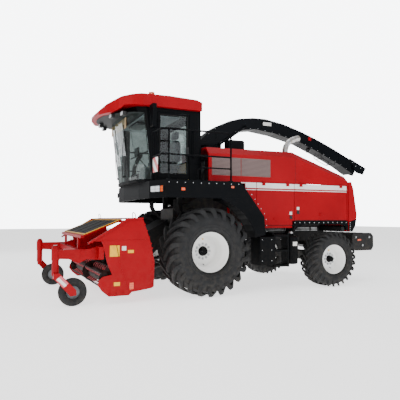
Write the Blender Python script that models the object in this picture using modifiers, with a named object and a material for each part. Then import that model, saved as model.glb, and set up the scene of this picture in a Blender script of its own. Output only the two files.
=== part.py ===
"""Forage harvester with a pick-up header: its frame, cab, hood, spout, header and running gear.

Metres, +Z up. The machine faces -Y and its left side is +X. Every place along Y below is measured
from the front axle, and the whole machine hangs on one empty that stands at the axle's place.
"""
import math

import bmesh
import bpy
from mathutils import Matrix, Vector

# ---------------------------------------------------------------- driving dimensions
GAP = 0.0003                     # between pieces that touch
SEAT = 0.0005                    # between a turning piece and what carries it
HINGE_R = 0.0125                 # hinge knuckles
RUN = 0.008                      # between pieces that move past each other
FRONT_AXLE_Y = -1.1515             # puts the middle of the machine's length on the origin
WHEELBASE = 2.86

FRONT_R, FRONT_W, FRONT_X = 0.80, 0.716, 1.24
FRONT_RIM_R = 0.36
REAR_R, REAR_W, REAR_X = 0.565, 0.48, 1.235
REAR_RIM_R = 0.30
KINGPIN_X = 0.90
FRONT_DISH, REAR_DISH = 0.35, 0.12  # rim edge to wheel disc
HUB_BACK = 0.06                  # hub behind the disc
GAUGE_R, GAUGE_W, GAUGE_X = 0.225, 0.15, 1.30
GAUGE_TRAIL = 0.27

RAIL_IN, RAIL_OUT = 0.36, 0.46   # chassis rails, from the centre plane
RAIL_LOW, RAIL_TOP = 1.00, 1.25
RAIL_FRONT, RAIL_REAR = -0.24, 3.40

DECK_TOP, DECK_LOW = 2.07, 1.76  # cab platform and its skirt
DECK_T, SKIRT_T = 0.05, 0.03
DECK_X, DECK_REAR = 1.55, 0.61
DECK_FRONT_X, DECK_NOSE_Y, DECK_CORNER_Y = 1.08, -1.02, -0.85

CAB_X, CAB_WALL, CAB_FLOOR = 0.95, 0.05, 0.04
CAB_LOW, CAB_TOP = DECK_TOP + GAP, 3.44
CAB_REAR = 0.07
CAB_PILLAR_LOW_Y, CAB_PILLAR_TOP_Y = -0.85, -1.02
CAB_NOSE_LOW_Y, CAB_NOSE_TOP_Y = -1.20, -1.38
DOOR_FRONT_Y, DOOR_REAR_Y = -0.80, -0.17
DOOR_LOW, DOOR_TOP = 2.14, 3.36
GLASS_T = 0.008
ROOF_TOP, ROOF_X = 3.66, 1.04
ROOF_FRONT_Y, ROOF_REAR_Y = -1.79, 0.06

HOOD_X, HOOD_WALL = 1.20, 0.03
HOOD_FRONT, HOOD_REAR = 0.12, 3.46
HOOD_FLANK_FRONT = 0.90
HOOD_FOLD, HOOD_TOP = 2.08, 2.77  # where the flat top ends, and its height there
HOOD_LOW_FRONT, HOOD_LOW_REAR = 1.26, 1.36
DOOR_SPLIT_Y, SIDE_DOOR_FRONT, SIDE_DOOR_REAR = 2.05, 1.15, 3.43
SIDE_DOOR_TOP, SIDE_DOOR_T = 2.11, 0.03
REAR_DOOR_LOW, REAR_DOOR_TOP = 1.12, 2.20

SPOUT_Y, SPOUT_SEAT_Z = 0.65, 2.90
SPOUT_X, SPOUT_WALL = 0.165, 0.012
FLAP_X = 0.1825                  # the flap's cheeks pass outside the chute
LIFT_HINGE = (0.0, 0.375, 3.04)
FLAP_HINGE = (0.0, 4.4783, 2.872)
SPOUT_ARM_X = 0.222
SPOUT_PIN = (SPOUT_ARM_X, 0.86, 2.99)
SPOUT_EYE = (SPOUT_ARM_X, 1.50, 3.42)

HEADER_PIVOT = (0.0, -0.35, 1.15)
FEEDER_X, FEEDER_WALL = 0.34, 0.02
HEADER_X, SIDE_T = 1.50, 0.02
HEADER_BACK_Y, HEADER_BACK_T = -1.06, 0.04
AUGER_Y, AUGER_Z, AUGER_R, AUGER_CORE_R = -1.33, 0.60, 0.20, 0.08
DRUM_Y, DRUM_Z, DRUM_R = -1.77, 0.40, 0.20
POST_Y, POST_R = -2.62, 0.04
LIFT_ARM_X = 0.42
LIFT_PIN = (LIFT_ARM_X, -0.20, 0.60)
LIFT_EYE = (LIFT_ARM_X, -0.96, 0.40)

COLOURS = {
    "red": ((0.46, 0.012, 0.02), 0.35, 0.0), "black": ((0.012, 0.014, 0.018), 0.55, 0.0),
    "tyre": ((0.03, 0.03, 0.032), 0.85, 0.0), "rim": ((0.85, 0.83, 0.79), 0.4, 0.0),
    "steel": ((0.35, 0.35, 0.36), 0.35, 0.9), "glass": ((0.2, 0.25, 0.27), 0.08, 0.0),
    "grey": ((0.2, 0.2, 0.21), 0.7, 0.0), "amber": ((0.9, 0.3, 0.02), 0.3, 0.0),
}


# ---------------------------------------------------------------- modelling helpers
def collection(name):
    """Return the named collection, made in the scene if it isn't there yet."""
    found = bpy.data.collections.get(name)
    if found is None:
        found = bpy.data.collections.new(name)
        bpy.context.scene.collection.children.link(found)
    return found


def put(name, mesh):
    """Link a mesh to a new object in the machine's collection."""
    made = bpy.data.objects.new(name, mesh)
    collection("forage_harvester").objects.link(made)
    return made


def from_bmesh(name, bm):
    """Turn a bmesh into an object with its faces pointing out."""
    bmesh.ops.recalc_face_normals(bm, faces=bm.faces)
    mesh = bpy.data.meshes.new(name)
    bm.to_mesh(mesh)
    bm.free()
    return put(name, mesh)


def box(name, low, high):
    """A block between two corners."""
    bm = bmesh.new()
    bmesh.ops.create_cube(bm, size=1.0)
    size = [high[i] - low[i] for i in range(3)]
    middle = [(high[i] + low[i]) / 2 for i in range(3)]
    bmesh.ops.transform(bm, matrix=Matrix.LocRotScale(middle, None, size), verts=bm.verts)
    return from_bmesh(name, bm)


def rod(name, start, end, radius, sides=16):
    """A round bar from one point to another."""
    start, end = Vector(start), Vector(end)
    along = end - start
    bm = bmesh.new()
    bmesh.ops.create_cone(bm, cap_ends=True, segments=sides, radius1=radius, radius2=radius,
                          depth=along.length)
    turn = Vector((0, 0, 1)).rotation_difference(along)
    bmesh.ops.transform(bm, matrix=Matrix.LocRotScale((start + end) / 2, turn, None), verts=bm.verts)
    return from_bmesh(name, bm)


def curve_to_mesh(made):
    """Replace a curve object by its welded, closed mesh."""
    bpy.context.view_layer.update()
    seen = made.evaluated_get(bpy.context.evaluated_depsgraph_get())
    mesh = bpy.data.meshes.new_from_object(seen)
    bm = bmesh.new()
    bm.from_mesh(mesh)
    bm.transform(made.matrix_world)
    bmesh.ops.remove_doubles(bm, verts=bm.verts, dist=0.00005)
    name = made.name
    bpy.data.objects.remove(made)
    return from_bmesh(name, bm)


def prism(name, outline, axis, low, high):
    """A flat outline given a thickness along one axis.

    The outline's points are (y, z) for axis x, (x, z) for axis y and (x, y) for axis z.
    """
    curve = bpy.data.curves.new(name, "CURVE")
    curve.dimensions = "2D"
    curve.fill_mode = "BOTH"
    curve.extrude = (high - low) / 2
    spline = curve.splines.new("POLY")
    spline.points.add(len(outline) - 1)
    for point, (u, v) in zip(spline.points, outline):
        point.co = (u, v, 0, 1)
    spline.use_cyclic_u = True
    made = bpy.data.objects.new(name, curve)
    collection("forage_harvester").objects.link(made)
    middle = (high + low) / 2
    made.matrix_world = {
        "x": Matrix(((0, 0, 1, middle), (1, 0, 0, 0), (0, 1, 0, 0), (0, 0, 0, 1))),
        "y": Matrix(((1, 0, 0, 0), (0, 0, -1, middle), (0, 1, 0, 0), (0, 0, 0, 1))),
        "z": Matrix.Translation((0, 0, middle)),
    }[axis]
    return curve_to_mesh(made)


def tube(name, points, radius, closed=False):
    """A bent round tube or rail through the given points."""
    curve = bpy.data.curves.new(name, "CURVE")
    curve.dimensions = "3D"
    curve.bevel_depth = radius
    curve.bevel_resolution = 2
    curve.use_fill_caps = not closed
    spline = curve.splines.new("POLY")
    spline.points.add(len(points) - 1)
    for point, place in zip(spline.points, points):
        point.co = (*place, 1)
    spline.use_cyclic_u = closed
    made = bpy.data.objects.new(name, curve)
    collection("forage_harvester").objects.link(made)
    return curve_to_mesh(made)


def turned(name, profile, centre, axis="x", steps=24):
    """A profile of (radius, place along the axis), closed, turned round the axis."""
    mesh = bpy.data.meshes.new(name)
    count = len(profile)
    mesh.from_pydata([(r, 0, z) for r, z in profile], [(i, (i + 1) % count) for i in range(count)], [])
    made = put(name, mesh)
    screw = made.modifiers.new("turn", "SCREW")
    screw.steps = screw.render_steps = steps
    screw.use_merge_vertices = True
    screw.merge_threshold = 0.0001
    apply(made)
    turn = {"x": Matrix.Rotation(math.pi / 2, 4, "Y"), "y": Matrix.Rotation(-math.pi / 2, 4, "X"),
            "z": Matrix.Identity(4)}[axis]
    made.data.transform(Matrix.Translation(centre) @ turn)
    bm = bmesh.new()
    bm.from_mesh(made.data)
    bmesh.ops.remove_doubles(bm, verts=bm.verts, dist=0.00005)
    bmesh.ops.recalc_face_normals(bm, faces=bm.faces)
    bm.to_mesh(made.data)
    bm.free()
    return made


def loft(name, sections):
    """A closed body through sections with equally many points, capped at both ends."""
    count = len(sections[0])
    bm = bmesh.new()
    rings = [[bm.verts.new(point) for point in section] for section in sections]
    for ring, following in zip(rings, rings[1:]):
        for i in range(count):
            j = (i + 1) % count
            bm.faces.new((ring[i], ring[j], following[j], following[i]))
    bm.faces.new(rings[0])
    bm.faces.new(rings[-1])
    bmesh.ops.triangulate(bm, faces=bm.faces)
    return from_bmesh(name, bm)


def apply(made):
    """Fix an object's modifiers into its mesh."""
    bpy.context.view_layer.update()
    seen = made.evaluated_get(bpy.context.evaluated_depsgraph_get())
    mesh = bpy.data.meshes.new_from_object(seen)
    made.modifiers.clear()
    made.data = mesh
    return made


def combine(made, others, operation, solver="EXACT"):
    """Union, cut or intersect an object with others, which are used up."""
    for other in others:
        step = made.modifiers.new(operation.lower(), "BOOLEAN")
        step.solver = solver
        step.operation = operation
        step.object = other
        apply(made)
        bpy.data.objects.remove(other)
    return made


def union(made, *others):
    """Join other bodies to this one."""
    return combine(made, others, "UNION")


def union_of_many(made, *others):
    """Join bodies whose faces meet at many shallow angles, which the exact solver leaves open."""
    return combine(made, others, "UNION", "MANIFOLD")


def cut(made, *others):
    """Take other bodies away from this one."""
    return combine(made, others, "DIFFERENCE")


def keep(made, *others):
    """Keep only what this body shares with the others."""
    return combine(made, others, "INTERSECT")


def mirrored(made, name):
    """A copy of a body on the other side of the centre plane."""
    bm = bmesh.new()
    bm.from_mesh(made.data)
    bmesh.ops.transform(bm, matrix=Matrix.Diagonal((-1, 1, 1, 1)), verts=bm.verts)
    return from_bmesh(name, bm)


def paint(made, colour):
    """Give a body its material."""
    if colour not in bpy.data.materials:
        (r, g, b), rough, metal = COLOURS[colour]
        material = bpy.data.materials.new(colour)
        material.use_nodes = True
        shader = material.node_tree.nodes["Principled BSDF"]
        shader.inputs["Base Color"].default_value = (r, g, b, 1)
        shader.inputs["Roughness"].default_value = rough
        shader.inputs["Metallic"].default_value = metal
    made.data.materials.clear()
    made.data.materials.append(bpy.data.materials[colour])
    return made


def pivot(made, place):
    """Move a body's origin to the axis it turns on, with its shape where it was."""
    made.data.transform(Matrix.Translation(-Vector(place)))
    made.location = place
    return made


def arc(centre, radius, start, end, steps):
    """Points on an arc, angles in degrees."""
    angles = [math.radians(start + (end - start) * i / steps) for i in range(steps + 1)]
    return [(centre[0] + radius * math.cos(a), centre[1] + radius * math.sin(a)) for a in angles]


# ---------------------------------------------------------------- frame and drive
def main_frame():
    """Two rails, their cross members, the rear hitch beam and the header arms' anchors."""
    rails = [box("rail", (side * RAIL_IN if side > 0 else -RAIL_OUT, RAIL_FRONT, RAIL_LOW),
                 (side * RAIL_OUT if side > 0 else -RAIL_IN, RAIL_REAR, RAIL_TOP)) for side in (1, -1)]
    cross = [box("cross", (-RAIL_OUT + 0.01, y, RAIL_LOW + 0.02), (RAIL_OUT - 0.01, y + 0.12, RAIL_TOP - 0.02))
             for y in (1.45, 2.10, WHEELBASE + 0.35, RAIL_REAR - 0.13)]
    hitch = prism("hitch", [(3.05, RAIL_LOW + 0.06), (3.05, 0.80), (3.30, 0.72), (3.80 - GAP, 0.72),
                            (3.80 - GAP, 0.99), (3.37, 0.99), (3.37, RAIL_LOW + 0.06)], "x", -0.30, 0.30)
    cheeks = [box("cheek", (side * 0.30 - 0.1, 3.06, RAIL_LOW - 0.08), (side * 0.30 + 0.1, 3.38, RAIL_LOW + 0.1))
              for side in (1, -1)]
    deck_beams = [box("outrigger", (-HOOD_X + HOOD_WALL + 0.01, y, RAIL_TOP - 0.13),
                      (HOOD_X - HOOD_WALL - 0.01, y + 0.08, RAIL_TOP - 0.03)) for y in (1.15, 3.30)]
    posts = [box("cab post", (side * 0.41 - 0.04, -0.20, RAIL_TOP - 0.02),
                 (side * 0.41 + 0.04, -0.10, DECK_TOP - DECK_T - GAP)) for side in (1, -1)]
    frame = union(rails[0], rails[1], *cross, hitch, *cheeks, *deck_beams, *posts)
    frame.name = "main_frame"
    return paint(frame, "black")


def drive_axle():
    """The front axle beam with a final drive and hub stub at each end, and its saddles."""
    hub_face = FRONT_X + FRONT_W / 2 * 0.83 - FRONT_DISH - HUB_BACK - SEAT
    beam = rod("drive_axle", (-0.80, 0, FRONT_R), (0.80, 0, FRONT_R), 0.11, 20)
    ends = [rod("drive", (side * 0.62, 0, FRONT_R), (side * 0.86, 0, FRONT_R), 0.20, 24) for side in (1, -1)]
    stubs = [rod("stub", (side * 0.84, 0, FRONT_R), (side * hub_face, 0, FRONT_R), 0.09, 16)
             for side in (1, -1)]
    saddles = [box("saddle", (side * 0.41 - 0.045, -0.10, FRONT_R), (side * 0.41 + 0.045, 0.10, RAIL_LOW - GAP))
               for side in (1, -1)]
    ears = [box("ear", (side * LIFT_ARM_X + s * 0.038 - 0.008, LIFT_PIN[1] - 0.03, LIFT_PIN[2] - 0.03),
                (side * LIFT_ARM_X + s * 0.038 + 0.008, 0.0, FRONT_R)) for side in (1, -1) for s in (1, -1)]
    pins = [rod("pin", (side * LIFT_ARM_X - 0.036, *LIFT_PIN[1:]), (side * LIFT_ARM_X + 0.036, *LIFT_PIN[1:]),
                0.018, 12) for side in (1, -1)]
    return paint(union(beam, *ends, *stubs, *saddles, *ears, *pins), "black")


def rear_axle():
    """The steering axle: a beam hung from the frame, with a fork at each kingpin."""
    y, z = WHEELBASE, REAR_R
    beam = prism("rear_axle", [(-0.80, z + 0.07), (-0.80, z - 0.07), (0.80, z - 0.07), (0.80, z + 0.07),
                               (0.20, z + 0.13), (-0.20, z + 0.13)], "y", y - 0.08, y + 0.08)
    trunnion = box("trunnion", (-0.12, y - 0.075, z), (0.12, y + 0.075, RAIL_LOW - 0.02))
    seat = box("seat", (-RAIL_OUT, y - 0.15, RAIL_LOW - 0.09), (RAIL_OUT, y + 0.15, RAIL_LOW - GAP))
    forks = []
    for side in (1, -1):
        for low, high in ((z - 0.12, z - 0.08), (z + 0.08, z + 0.12)):
            inner, outer = sorted((side * 0.74, side * (KINGPIN_X + 0.05)))
            forks.append(box("fork", (inner, y - 0.06, low), (outer, y + 0.06, high)))
        inner, outer = sorted((side * 0.74, side * 0.81))
        forks.append(box("web", (inner, y - 0.06, z - 0.12), (outer, y + 0.06, z + 0.12)))
    return paint(union(beam, trunnion, seat, *forks), "black")


def engine_block():
    """The engine across the chassis, as one plain block on the rails."""
    return paint(box("engine_block", (-0.75, 1.60, RAIL_TOP + GAP), (0.75, 3.05, 2.12)), "grey")


def chopper_housing():
    """The cutting and blowing housing, whose duct rises behind the cab to the spout's seat."""
    front = -0.27
    outline = [(front, 0.98), (0.05, 0.96), (0.55, 1.02), (0.95, 1.05), (0.95, 1.60), (0.86, SPOUT_SEAT_Z - 0.30),
               (0.44, SPOUT_SEAT_Z - 0.30), (0.40, 1.95), (0.10, 1.72), (front, 1.60)]
    body = prism("chopper_housing", outline, "x", -RAIL_IN + 0.005, RAIL_IN - 0.005)
    neck = rod("neck", (0, SPOUT_Y, SPOUT_SEAT_Z - 0.4), (0, SPOUT_Y, SPOUT_SEAT_Z - 0.05), 0.20, 24)
    seat = rod("seat", (0, SPOUT_Y, SPOUT_SEAT_Z - 0.07), (0, SPOUT_Y, SPOUT_SEAT_Z), 0.27, 24)
    top = rod("top", (0, SPOUT_Y, SPOUT_SEAT_Z - 0.02), (0, SPOUT_Y, SPOUT_SEAT_Z + 0.05), 0.13, 24)
    lugs = [box("lug", (side * 0.35 - 0.05, 0.30, RAIL_TOP + GAP), (side * 0.35 + 0.05, 0.42, RAIL_TOP + 0.06))
            for side in (1, -1)]
    plates = [box("plate", (side * 0.395 - 0.012, HEADER_PIVOT[1] - 0.06, 1.06),
                  (side * 0.395 + 0.012, RAIL_FRONT - GAP, 1.24)) for side in (1, -1)]
    ties = [box("tie", (min(side * 0.34, side * 0.405), front + 0.005, 1.06),
                (max(side * 0.34, side * 0.405), front + 0.027, 1.24)) for side in (1, -1)]
    return paint(union(body, neck, seat, top, *lugs, *plates, *ties), "black")


def counterweight():
    """The cast rear weight with its chamfered ends, carried on the hitch beam."""
    block = prism("counterweight", [(3.80, 0.72), (3.92, 0.68), (4.36, 0.68), (4.42, 0.76), (4.42, 1.00),
                                    (4.36, 1.07), (3.84, 1.07), (3.80, 1.03)], "x", -0.95, 0.95)
    return paint(block, "black")


def service_steps():
    """The left tool box and the ladder beside it, on one bracket from the chassis."""
    tool_box = box("service_steps", (1.16, 1.05, 0.52), (1.50, 1.38, 1.05))
    sides = [box("side", (1.20, y, 0.46), (1.42, y + 0.03, 1.12)) for y in (1.37, 1.72)]
    treads = [box("tread", (1.21, 1.385, z), (1.45, 1.735, z + 0.035)) for z in (0.47, 0.76, 1.05)]
    bracket = box("bracket", (RAIL_OUT + 0.01, 1.30, 1.055), (1.200, 1.375, 1.115))
    riser = box("riser", (1.165, 1.06, 1.03), (1.205, 1.39, 1.11))
    hanger = box("hanger", (RAIL_OUT + GAP, 1.26, 1.03), (RAIL_OUT + 0.04, 1.42, 1.2))
    return paint(union(tool_box, *sides, *treads, bracket, riser, hanger), "black")


def fuel_tank():
    """The upright round tank behind the ladder, with its hanger to the chassis."""
    tank = turned("fuel_tank", [(0.0, 1.05), (0.0, 0.50), (0.10, 0.50), (0.125, 0.52), (0.125, 1.03), (0.10, 1.05)],
                  (1.29, 1.90, 0), "z", 24)
    arm = box("arm", (RAIL_OUT + GAP, 1.86, 1.02), (1.25, 1.94, 1.10))
    return paint(union(tank, arm), "black")


def wheel(name, side, place, tyre_r, tyre_w, rim_r, dish, hub_r):
    """A rim with its hub and a tyre on it. dish is how far the disc sits inboard of the outer edge."""
    half = tyre_w / 2
    edge = half * 0.83
    seat, sheet = rim_r - 0.03, 0.012
    disc = edge - dish
    tyre_profile = [(rim_r + GAP, -edge), (tyre_r - 0.17, -half), (tyre_r - 0.05, -half * 0.95),
                    (tyre_r, -half * 0.76), (tyre_r, half * 0.76), (tyre_r - 0.05, half * 0.95),
                    (tyre_r - 0.17, half), (rim_r + GAP, edge)]
    cap_r = hub_r * 0.75
    half_rim = [(rim_r, -edge), (seat, -edge), (seat, disc - sheet), (hub_r, disc - sheet),
                (hub_r, disc - HUB_BACK), (0, disc - HUB_BACK), (0, disc + 0.11), (cap_r, disc + 0.11),
                (cap_r, disc + 0.06), (hub_r, disc + 0.06), (hub_r, disc + sheet), (seat, disc + sheet),
                (seat, edge), (rim_r, edge)]
    rim = turned(name + "_rim", [(r, side * out) for r, out in half_rim], place)
    tyre = turned(name + "_tyre", tyre_profile, place)
    for piece, colour in ((rim, "rim"), (tyre, "tyre")):
        paint(pivot(piece, place), colour)


def front_wheels():
    """The driven wheels, whose discs sit deep in their rims."""
    for side, word in ((1, "left"), (-1, "right")):
        wheel("front_" + word, side, (side * FRONT_X, 0, FRONT_R), FRONT_R, FRONT_W, FRONT_RIM_R,
              FRONT_DISH, 0.14)


def rear_wheels():
    """The steered wheels and the knuckles that carry them on their kingpins."""
    for side, word in ((1, "left"), (-1, "right")):
        wheel("rear_" + word, side, (side * REAR_X, WHEELBASE, REAR_R), REAR_R, REAR_W, REAR_RIM_R,
              REAR_DISH, 0.09)
        kingpin = (side * KINGPIN_X, WHEELBASE, REAR_R)
        knuckle = rod("steering_knuckle_" + word, (kingpin[0], WHEELBASE, REAR_R - 0.08 + SEAT),
                      (kingpin[0], WHEELBASE, REAR_R + 0.08 - SEAT), 0.045, 20)
        hub_face = side * (REAR_X + REAR_W / 2 * 0.83 - REAR_DISH - HUB_BACK - SEAT)
        stub = rod("stub", kingpin, (hub_face, WHEELBASE, REAR_R), 0.04, 16)
        arm = box("arm", (kingpin[0] - 0.02, WHEELBASE - 0.20, REAR_R - 0.05),
                  (kingpin[0] + 0.02, WHEELBASE, REAR_R - 0.02))
        paint(pivot(union(knuckle, stub, arm), kingpin), "black")


# ---------------------------------------------------------------- cab and platform
def nose_outline(side_x, rear_y, pillar_y, nose_y, inset=0.0):
    """A plan outline with a flat back, straight flanks and a front that bulges to the nose."""
    steps = 8
    x = side_x - inset
    front = [(x * math.cos(math.pi * i / steps), pillar_y + inset
              + (nose_y - pillar_y) * math.sin(math.pi * i / steps) ** 0.8) for i in range(steps + 1)]
    return [(-x, rear_y - inset), (x, rear_y - inset)] + front


def cab_body(name, inset, low, high):
    """The cab's outer form between two heights, shrunk all round by an inset."""
    sections = []
    for z in (low, high):
        share = (z - CAB_LOW) / (CAB_TOP - CAB_LOW)
        pillar = CAB_PILLAR_LOW_Y + share * (CAB_PILLAR_TOP_Y - CAB_PILLAR_LOW_Y)
        nose = CAB_NOSE_LOW_Y + share * (CAB_NOSE_TOP_Y - CAB_NOSE_LOW_Y)
        sections.append([(x, y, z) for x, y in nose_outline(CAB_X, CAB_REAR, pillar, nose, inset)])
    return loft(name, sections)


def windshield_cutter(name, shrink):
    """The block that frames the windshield between the front pillars."""
    low, high = CAB_LOW + 0.05 + shrink, CAB_TOP - 0.09 - shrink
    return prism(name, [(-1.70, low), (-0.90 - shrink, low), (-1.045 - shrink, high), (-1.70, high)], "x",
                 -CAB_X - 0.1, CAB_X + 0.1)


def side_window_cutter(name, side, shrink):
    """The block that cuts the window in the flank facing the door."""
    low, high = sorted((side * (CAB_X - 0.2), side * (CAB_X + 0.1)))
    return box(name, (low, DOOR_FRONT_Y + shrink, DOOR_LOW + 0.12 + shrink),
               (high, DOOR_REAR_Y - shrink, DOOR_TOP - shrink))


def rear_window_cutter(name, shrink):
    """The block that cuts the window in the cab's back."""
    return box(name, (-0.70 + shrink, CAB_REAR - 0.2, 2.55 + shrink), (0.70 - shrink, CAB_REAR + 0.1, 3.30 - shrink))


def cab_shell():
    """The hollow cab: floor, pillars, back and roof ring, with its door and windows cut."""
    shell = cab_body("cab_shell", 0, CAB_LOW, CAB_TOP)
    room = cab_body("room", CAB_WALL, CAB_LOW + CAB_FLOOR, CAB_TOP - 0.05)
    doorway = box("doorway", (CAB_X - 0.2, DOOR_FRONT_Y - RUN, DOOR_LOW - RUN),
                  (CAB_X + 0.1, DOOR_REAR_Y + RUN, DOOR_TOP + RUN))
    return paint(cut(shell, room, windshield_cutter("front", 0), side_window_cutter("side", -1, 0),
                     rear_window_cutter("back", 0), doorway), "black")


def cab_glass():
    """The curved windshield, the right window and the rear window, each set in its own opening."""
    outer, inner = 0.012, 0.012 + GLASS_T
    for name, cutter in (("windshield", windshield_cutter("a", GAP)), ("right_window",
                         side_window_cutter("b", -1, GAP)), ("rear_window", rear_window_cutter("c", GAP))):
        pane = cab_body(name, outer, CAB_LOW + 0.02, CAB_TOP - 0.02)
        core = cab_body("core", inner, CAB_LOW + 0.01, CAB_TOP - 0.01)
        paint(keep(cut(pane, core), cutter), "glass")


def cab_door():
    """The left door: a frame as thick as the wall, hung on the front pillar, and its pane."""
    outer = CAB_X
    frame = box("cab_door", (outer - CAB_WALL, DOOR_FRONT_Y, DOOR_LOW), (outer, DOOR_REAR_Y, DOOR_TOP))
    rim = 0.045
    window_low, window_high = (DOOR_FRONT_Y + rim, DOOR_LOW + 0.09), (DOOR_REAR_Y - rim, DOOR_TOP - rim)
    hole = box("hole", (outer - 0.2, *window_low), (outer + 0.1, *window_high))
    handle = tube("handle", [(outer - 0.01, DOOR_REAR_Y - 0.02, 2.42), (outer + 0.035, DOOR_REAR_Y - 0.02, 2.44),
                             (outer + 0.035, DOOR_REAR_Y - 0.02, 2.56), (outer - 0.01, DOOR_REAR_Y - 0.02, 2.58)],
                  0.008)
    pane = box("door_glass", (outer - 0.030, window_low[0] + GAP, window_low[1] + GAP),
               (outer - 0.030 + GLASS_T, window_high[0] - GAP, window_high[1] - GAP))
    hinge = (outer + HINGE_R + SEAT, DOOR_FRONT_Y - RUN - 0.004, 0)
    hinges = []
    for z in (2.35, 3.15):
        hinges.append(rod("knuckle", (hinge[0], hinge[1], z), (hinge[0], hinge[1], z + 0.08), HINGE_R, 12))
        hinges.append(box("leaf", (outer - 0.004, DOOR_FRONT_Y + 0.001, z + 0.005),
                          (outer + 0.012, DOOR_FRONT_Y + 0.05, z + 0.075)))
        hinges.append(box("strap", (outer + 0.0015, hinge[1], z + 0.005),
                          (outer + 0.011, DOOR_FRONT_Y + 0.01, z + 0.075)))
    paint(pivot(union(cut(frame, hole), handle, *hinges), hinge), "black")
    paint(pivot(pane, hinge), "glass")


def cab_roof():
    """The roof cap, cut from its side outline and its plan, with the deep front visor."""
    side = [(ROOF_FRONT_Y, 3.345), (-1.60, 3.33), (-1.46, 3.39), (-1.42, CAB_TOP + GAP), (ROOF_REAR_Y, CAB_TOP + GAP),
            (ROOF_REAR_Y, 3.60), (-0.05, 3.64), (-0.60, ROOF_TOP), (-1.15, 3.65), (-1.45, 3.60), (-1.66, 3.50),
            (ROOF_FRONT_Y, 3.39)]
    cap = prism("cab_roof", side, "x", -ROOF_X, ROOF_X)
    half = [(ROOF_X, ROOF_REAR_Y), (ROOF_X, -1.10), (1.00, -1.30), (0.85, -1.50), (0.60, -1.66), (0.35, -1.755),
            (0.12, ROOF_FRONT_Y + 0.002)]
    plan = half + [(-px, py) for px, py in reversed(half)]
    return paint(keep(cap, prism("plan", plan, "z", 3.0, 4.0)), "red")


def platform_plan(inset):
    """The platform's plan: straight flanks, cut corners and a slightly bowed front."""
    x, front_x = DECK_X - inset, DECK_FRONT_X - inset * 0.5
    nose = DECK_NOSE_Y + inset
    return [(x, DECK_REAR - inset), (x, DECK_CORNER_Y + inset * 0.9), (front_x, nose + 0.02),
            (front_x * 0.5, nose - 0.012), (-front_x * 0.5, nose - 0.012), (-front_x, nose + 0.02),
            (-x, DECK_CORNER_Y + inset * 0.9), (-x, DECK_REAR - inset)]


def cab_platform():
    """The deck round the cab with its skirt, open below and cut out behind for the chopper."""
    slab = prism("cab_platform", platform_plan(0), "z", DECK_LOW, DECK_TOP)
    hollow = prism("hollow", platform_plan(SKIRT_T), "z", DECK_LOW - 0.1, DECK_TOP - DECK_T)
    bay = box("bay", (-RAIL_OUT, CAB_REAR + 0.012, DECK_LOW - 0.1), (RAIL_OUT, DECK_REAR + 0.1, DECK_TOP + 0.1))
    return paint(cut(slab, hollow, bay), "black")


def fender(name, side):
    """A front mudguard: its curved band over the back of the tyre and its outer face."""
    inner_x, outer_x = HOOD_X + 0.012, DECK_X
    radius = 0.955
    under = arc((0, FRONT_R), radius, 76, 15, 8)
    over = [(1.13, 1.09), (1.11, 1.43), (DECK_REAR + 0.02, DECK_TOP - 0.03), (DECK_REAR + GAP, DECK_TOP - 0.03),
            (DECK_REAR + GAP, DECK_LOW - GAP), (0.20, DECK_LOW - GAP)]
    face = prism(name, under + over, "x", outer_x - 0.03, outer_x)
    band_over = arc((0, FRONT_R), radius + 0.03, 15, 76, 8)
    band = prism("band", under + band_over, "x", inner_x, outer_x - 0.01)
    lid = prism("lid", [(1.11, 1.43), (DECK_REAR + 0.02, DECK_TOP - 0.03), (DECK_REAR + 0.02, DECK_TOP - 0.08),
                        (1.08, 1.42), (1.09, 1.10), (1.13, 1.09)], "x", inner_x, outer_x - 0.01)
    made = union(face, band, lid)
    if side < 0:
        right = mirrored(made, name + "_right")
        bpy.data.objects.remove(made)
        right.name = name
        made = right
    return paint(made, "black")


def seat():
    """The driver's seat: a pedestal, cushion, back and headrest in one body."""
    floor = CAB_LOW + CAB_FLOOR + GAP
    post = box("seat", (-0.16, -0.50, floor), (0.16, -0.16, 2.42))
    cushion = box("cushion", (-0.26, -0.62, 2.40), (0.26, -0.10, 2.54))
    back = prism("back", [(-0.18, 2.50), (-0.06, 2.50), (-0.02, 3.02), (-0.11, 3.02)], "x", -0.25, 0.25)
    head = prism("head", [(-0.115, 3.0), (-0.035, 3.0), (-0.022, 3.22), (-0.095, 3.22)], "x", -0.14, 0.14)
    return paint(union(post, cushion, back, head), "grey")


def steering_column():
    """The steering column and its wheel."""
    floor = CAB_LOW + CAB_FLOOR + GAP
    column = tube("steering_column", [(0, -0.98, floor + 0.01), (0, -0.96, 2.40), (0, -0.86, 2.66)], 0.04)
    foot = box("foot", (-0.12, -1.05, floor), (0.12, -0.90, floor + 0.05))
    hub = rod("hub", (0, -0.875, 2.63), (0, -0.845, 2.69), 0.06, 16)
    ring_points = [(0.19 * math.cos(a), -0.855 - 0.19 * math.sin(a) * 0.89, 2.68 - 0.19 * math.sin(a) * 0.45)
                   for a in [2 * math.pi * i / 16 for i in range(16)]]
    ring = tube("ring", ring_points, 0.014, closed=True)
    spokes = [rod("spoke", ring_points[0], ring_points[8], 0.010, 8),
              rod("spoke", (0, -0.855, 2.68), ring_points[4], 0.010, 8)]
    return paint(union(column, foot, hub, *spokes, ring), "black")


def beacon():
    """The amber lamp on its bracket at the roof's left."""
    foot = rod("beacon", (0.80, -0.87, 3.6562), (0.80, -0.87, 3.68), 0.03, 12)
    lamp = rod("lamp", (0.80, -0.87, 3.66), (0.80, -0.87, 3.75), 0.055, 20)
    return foot, lamp


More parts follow.
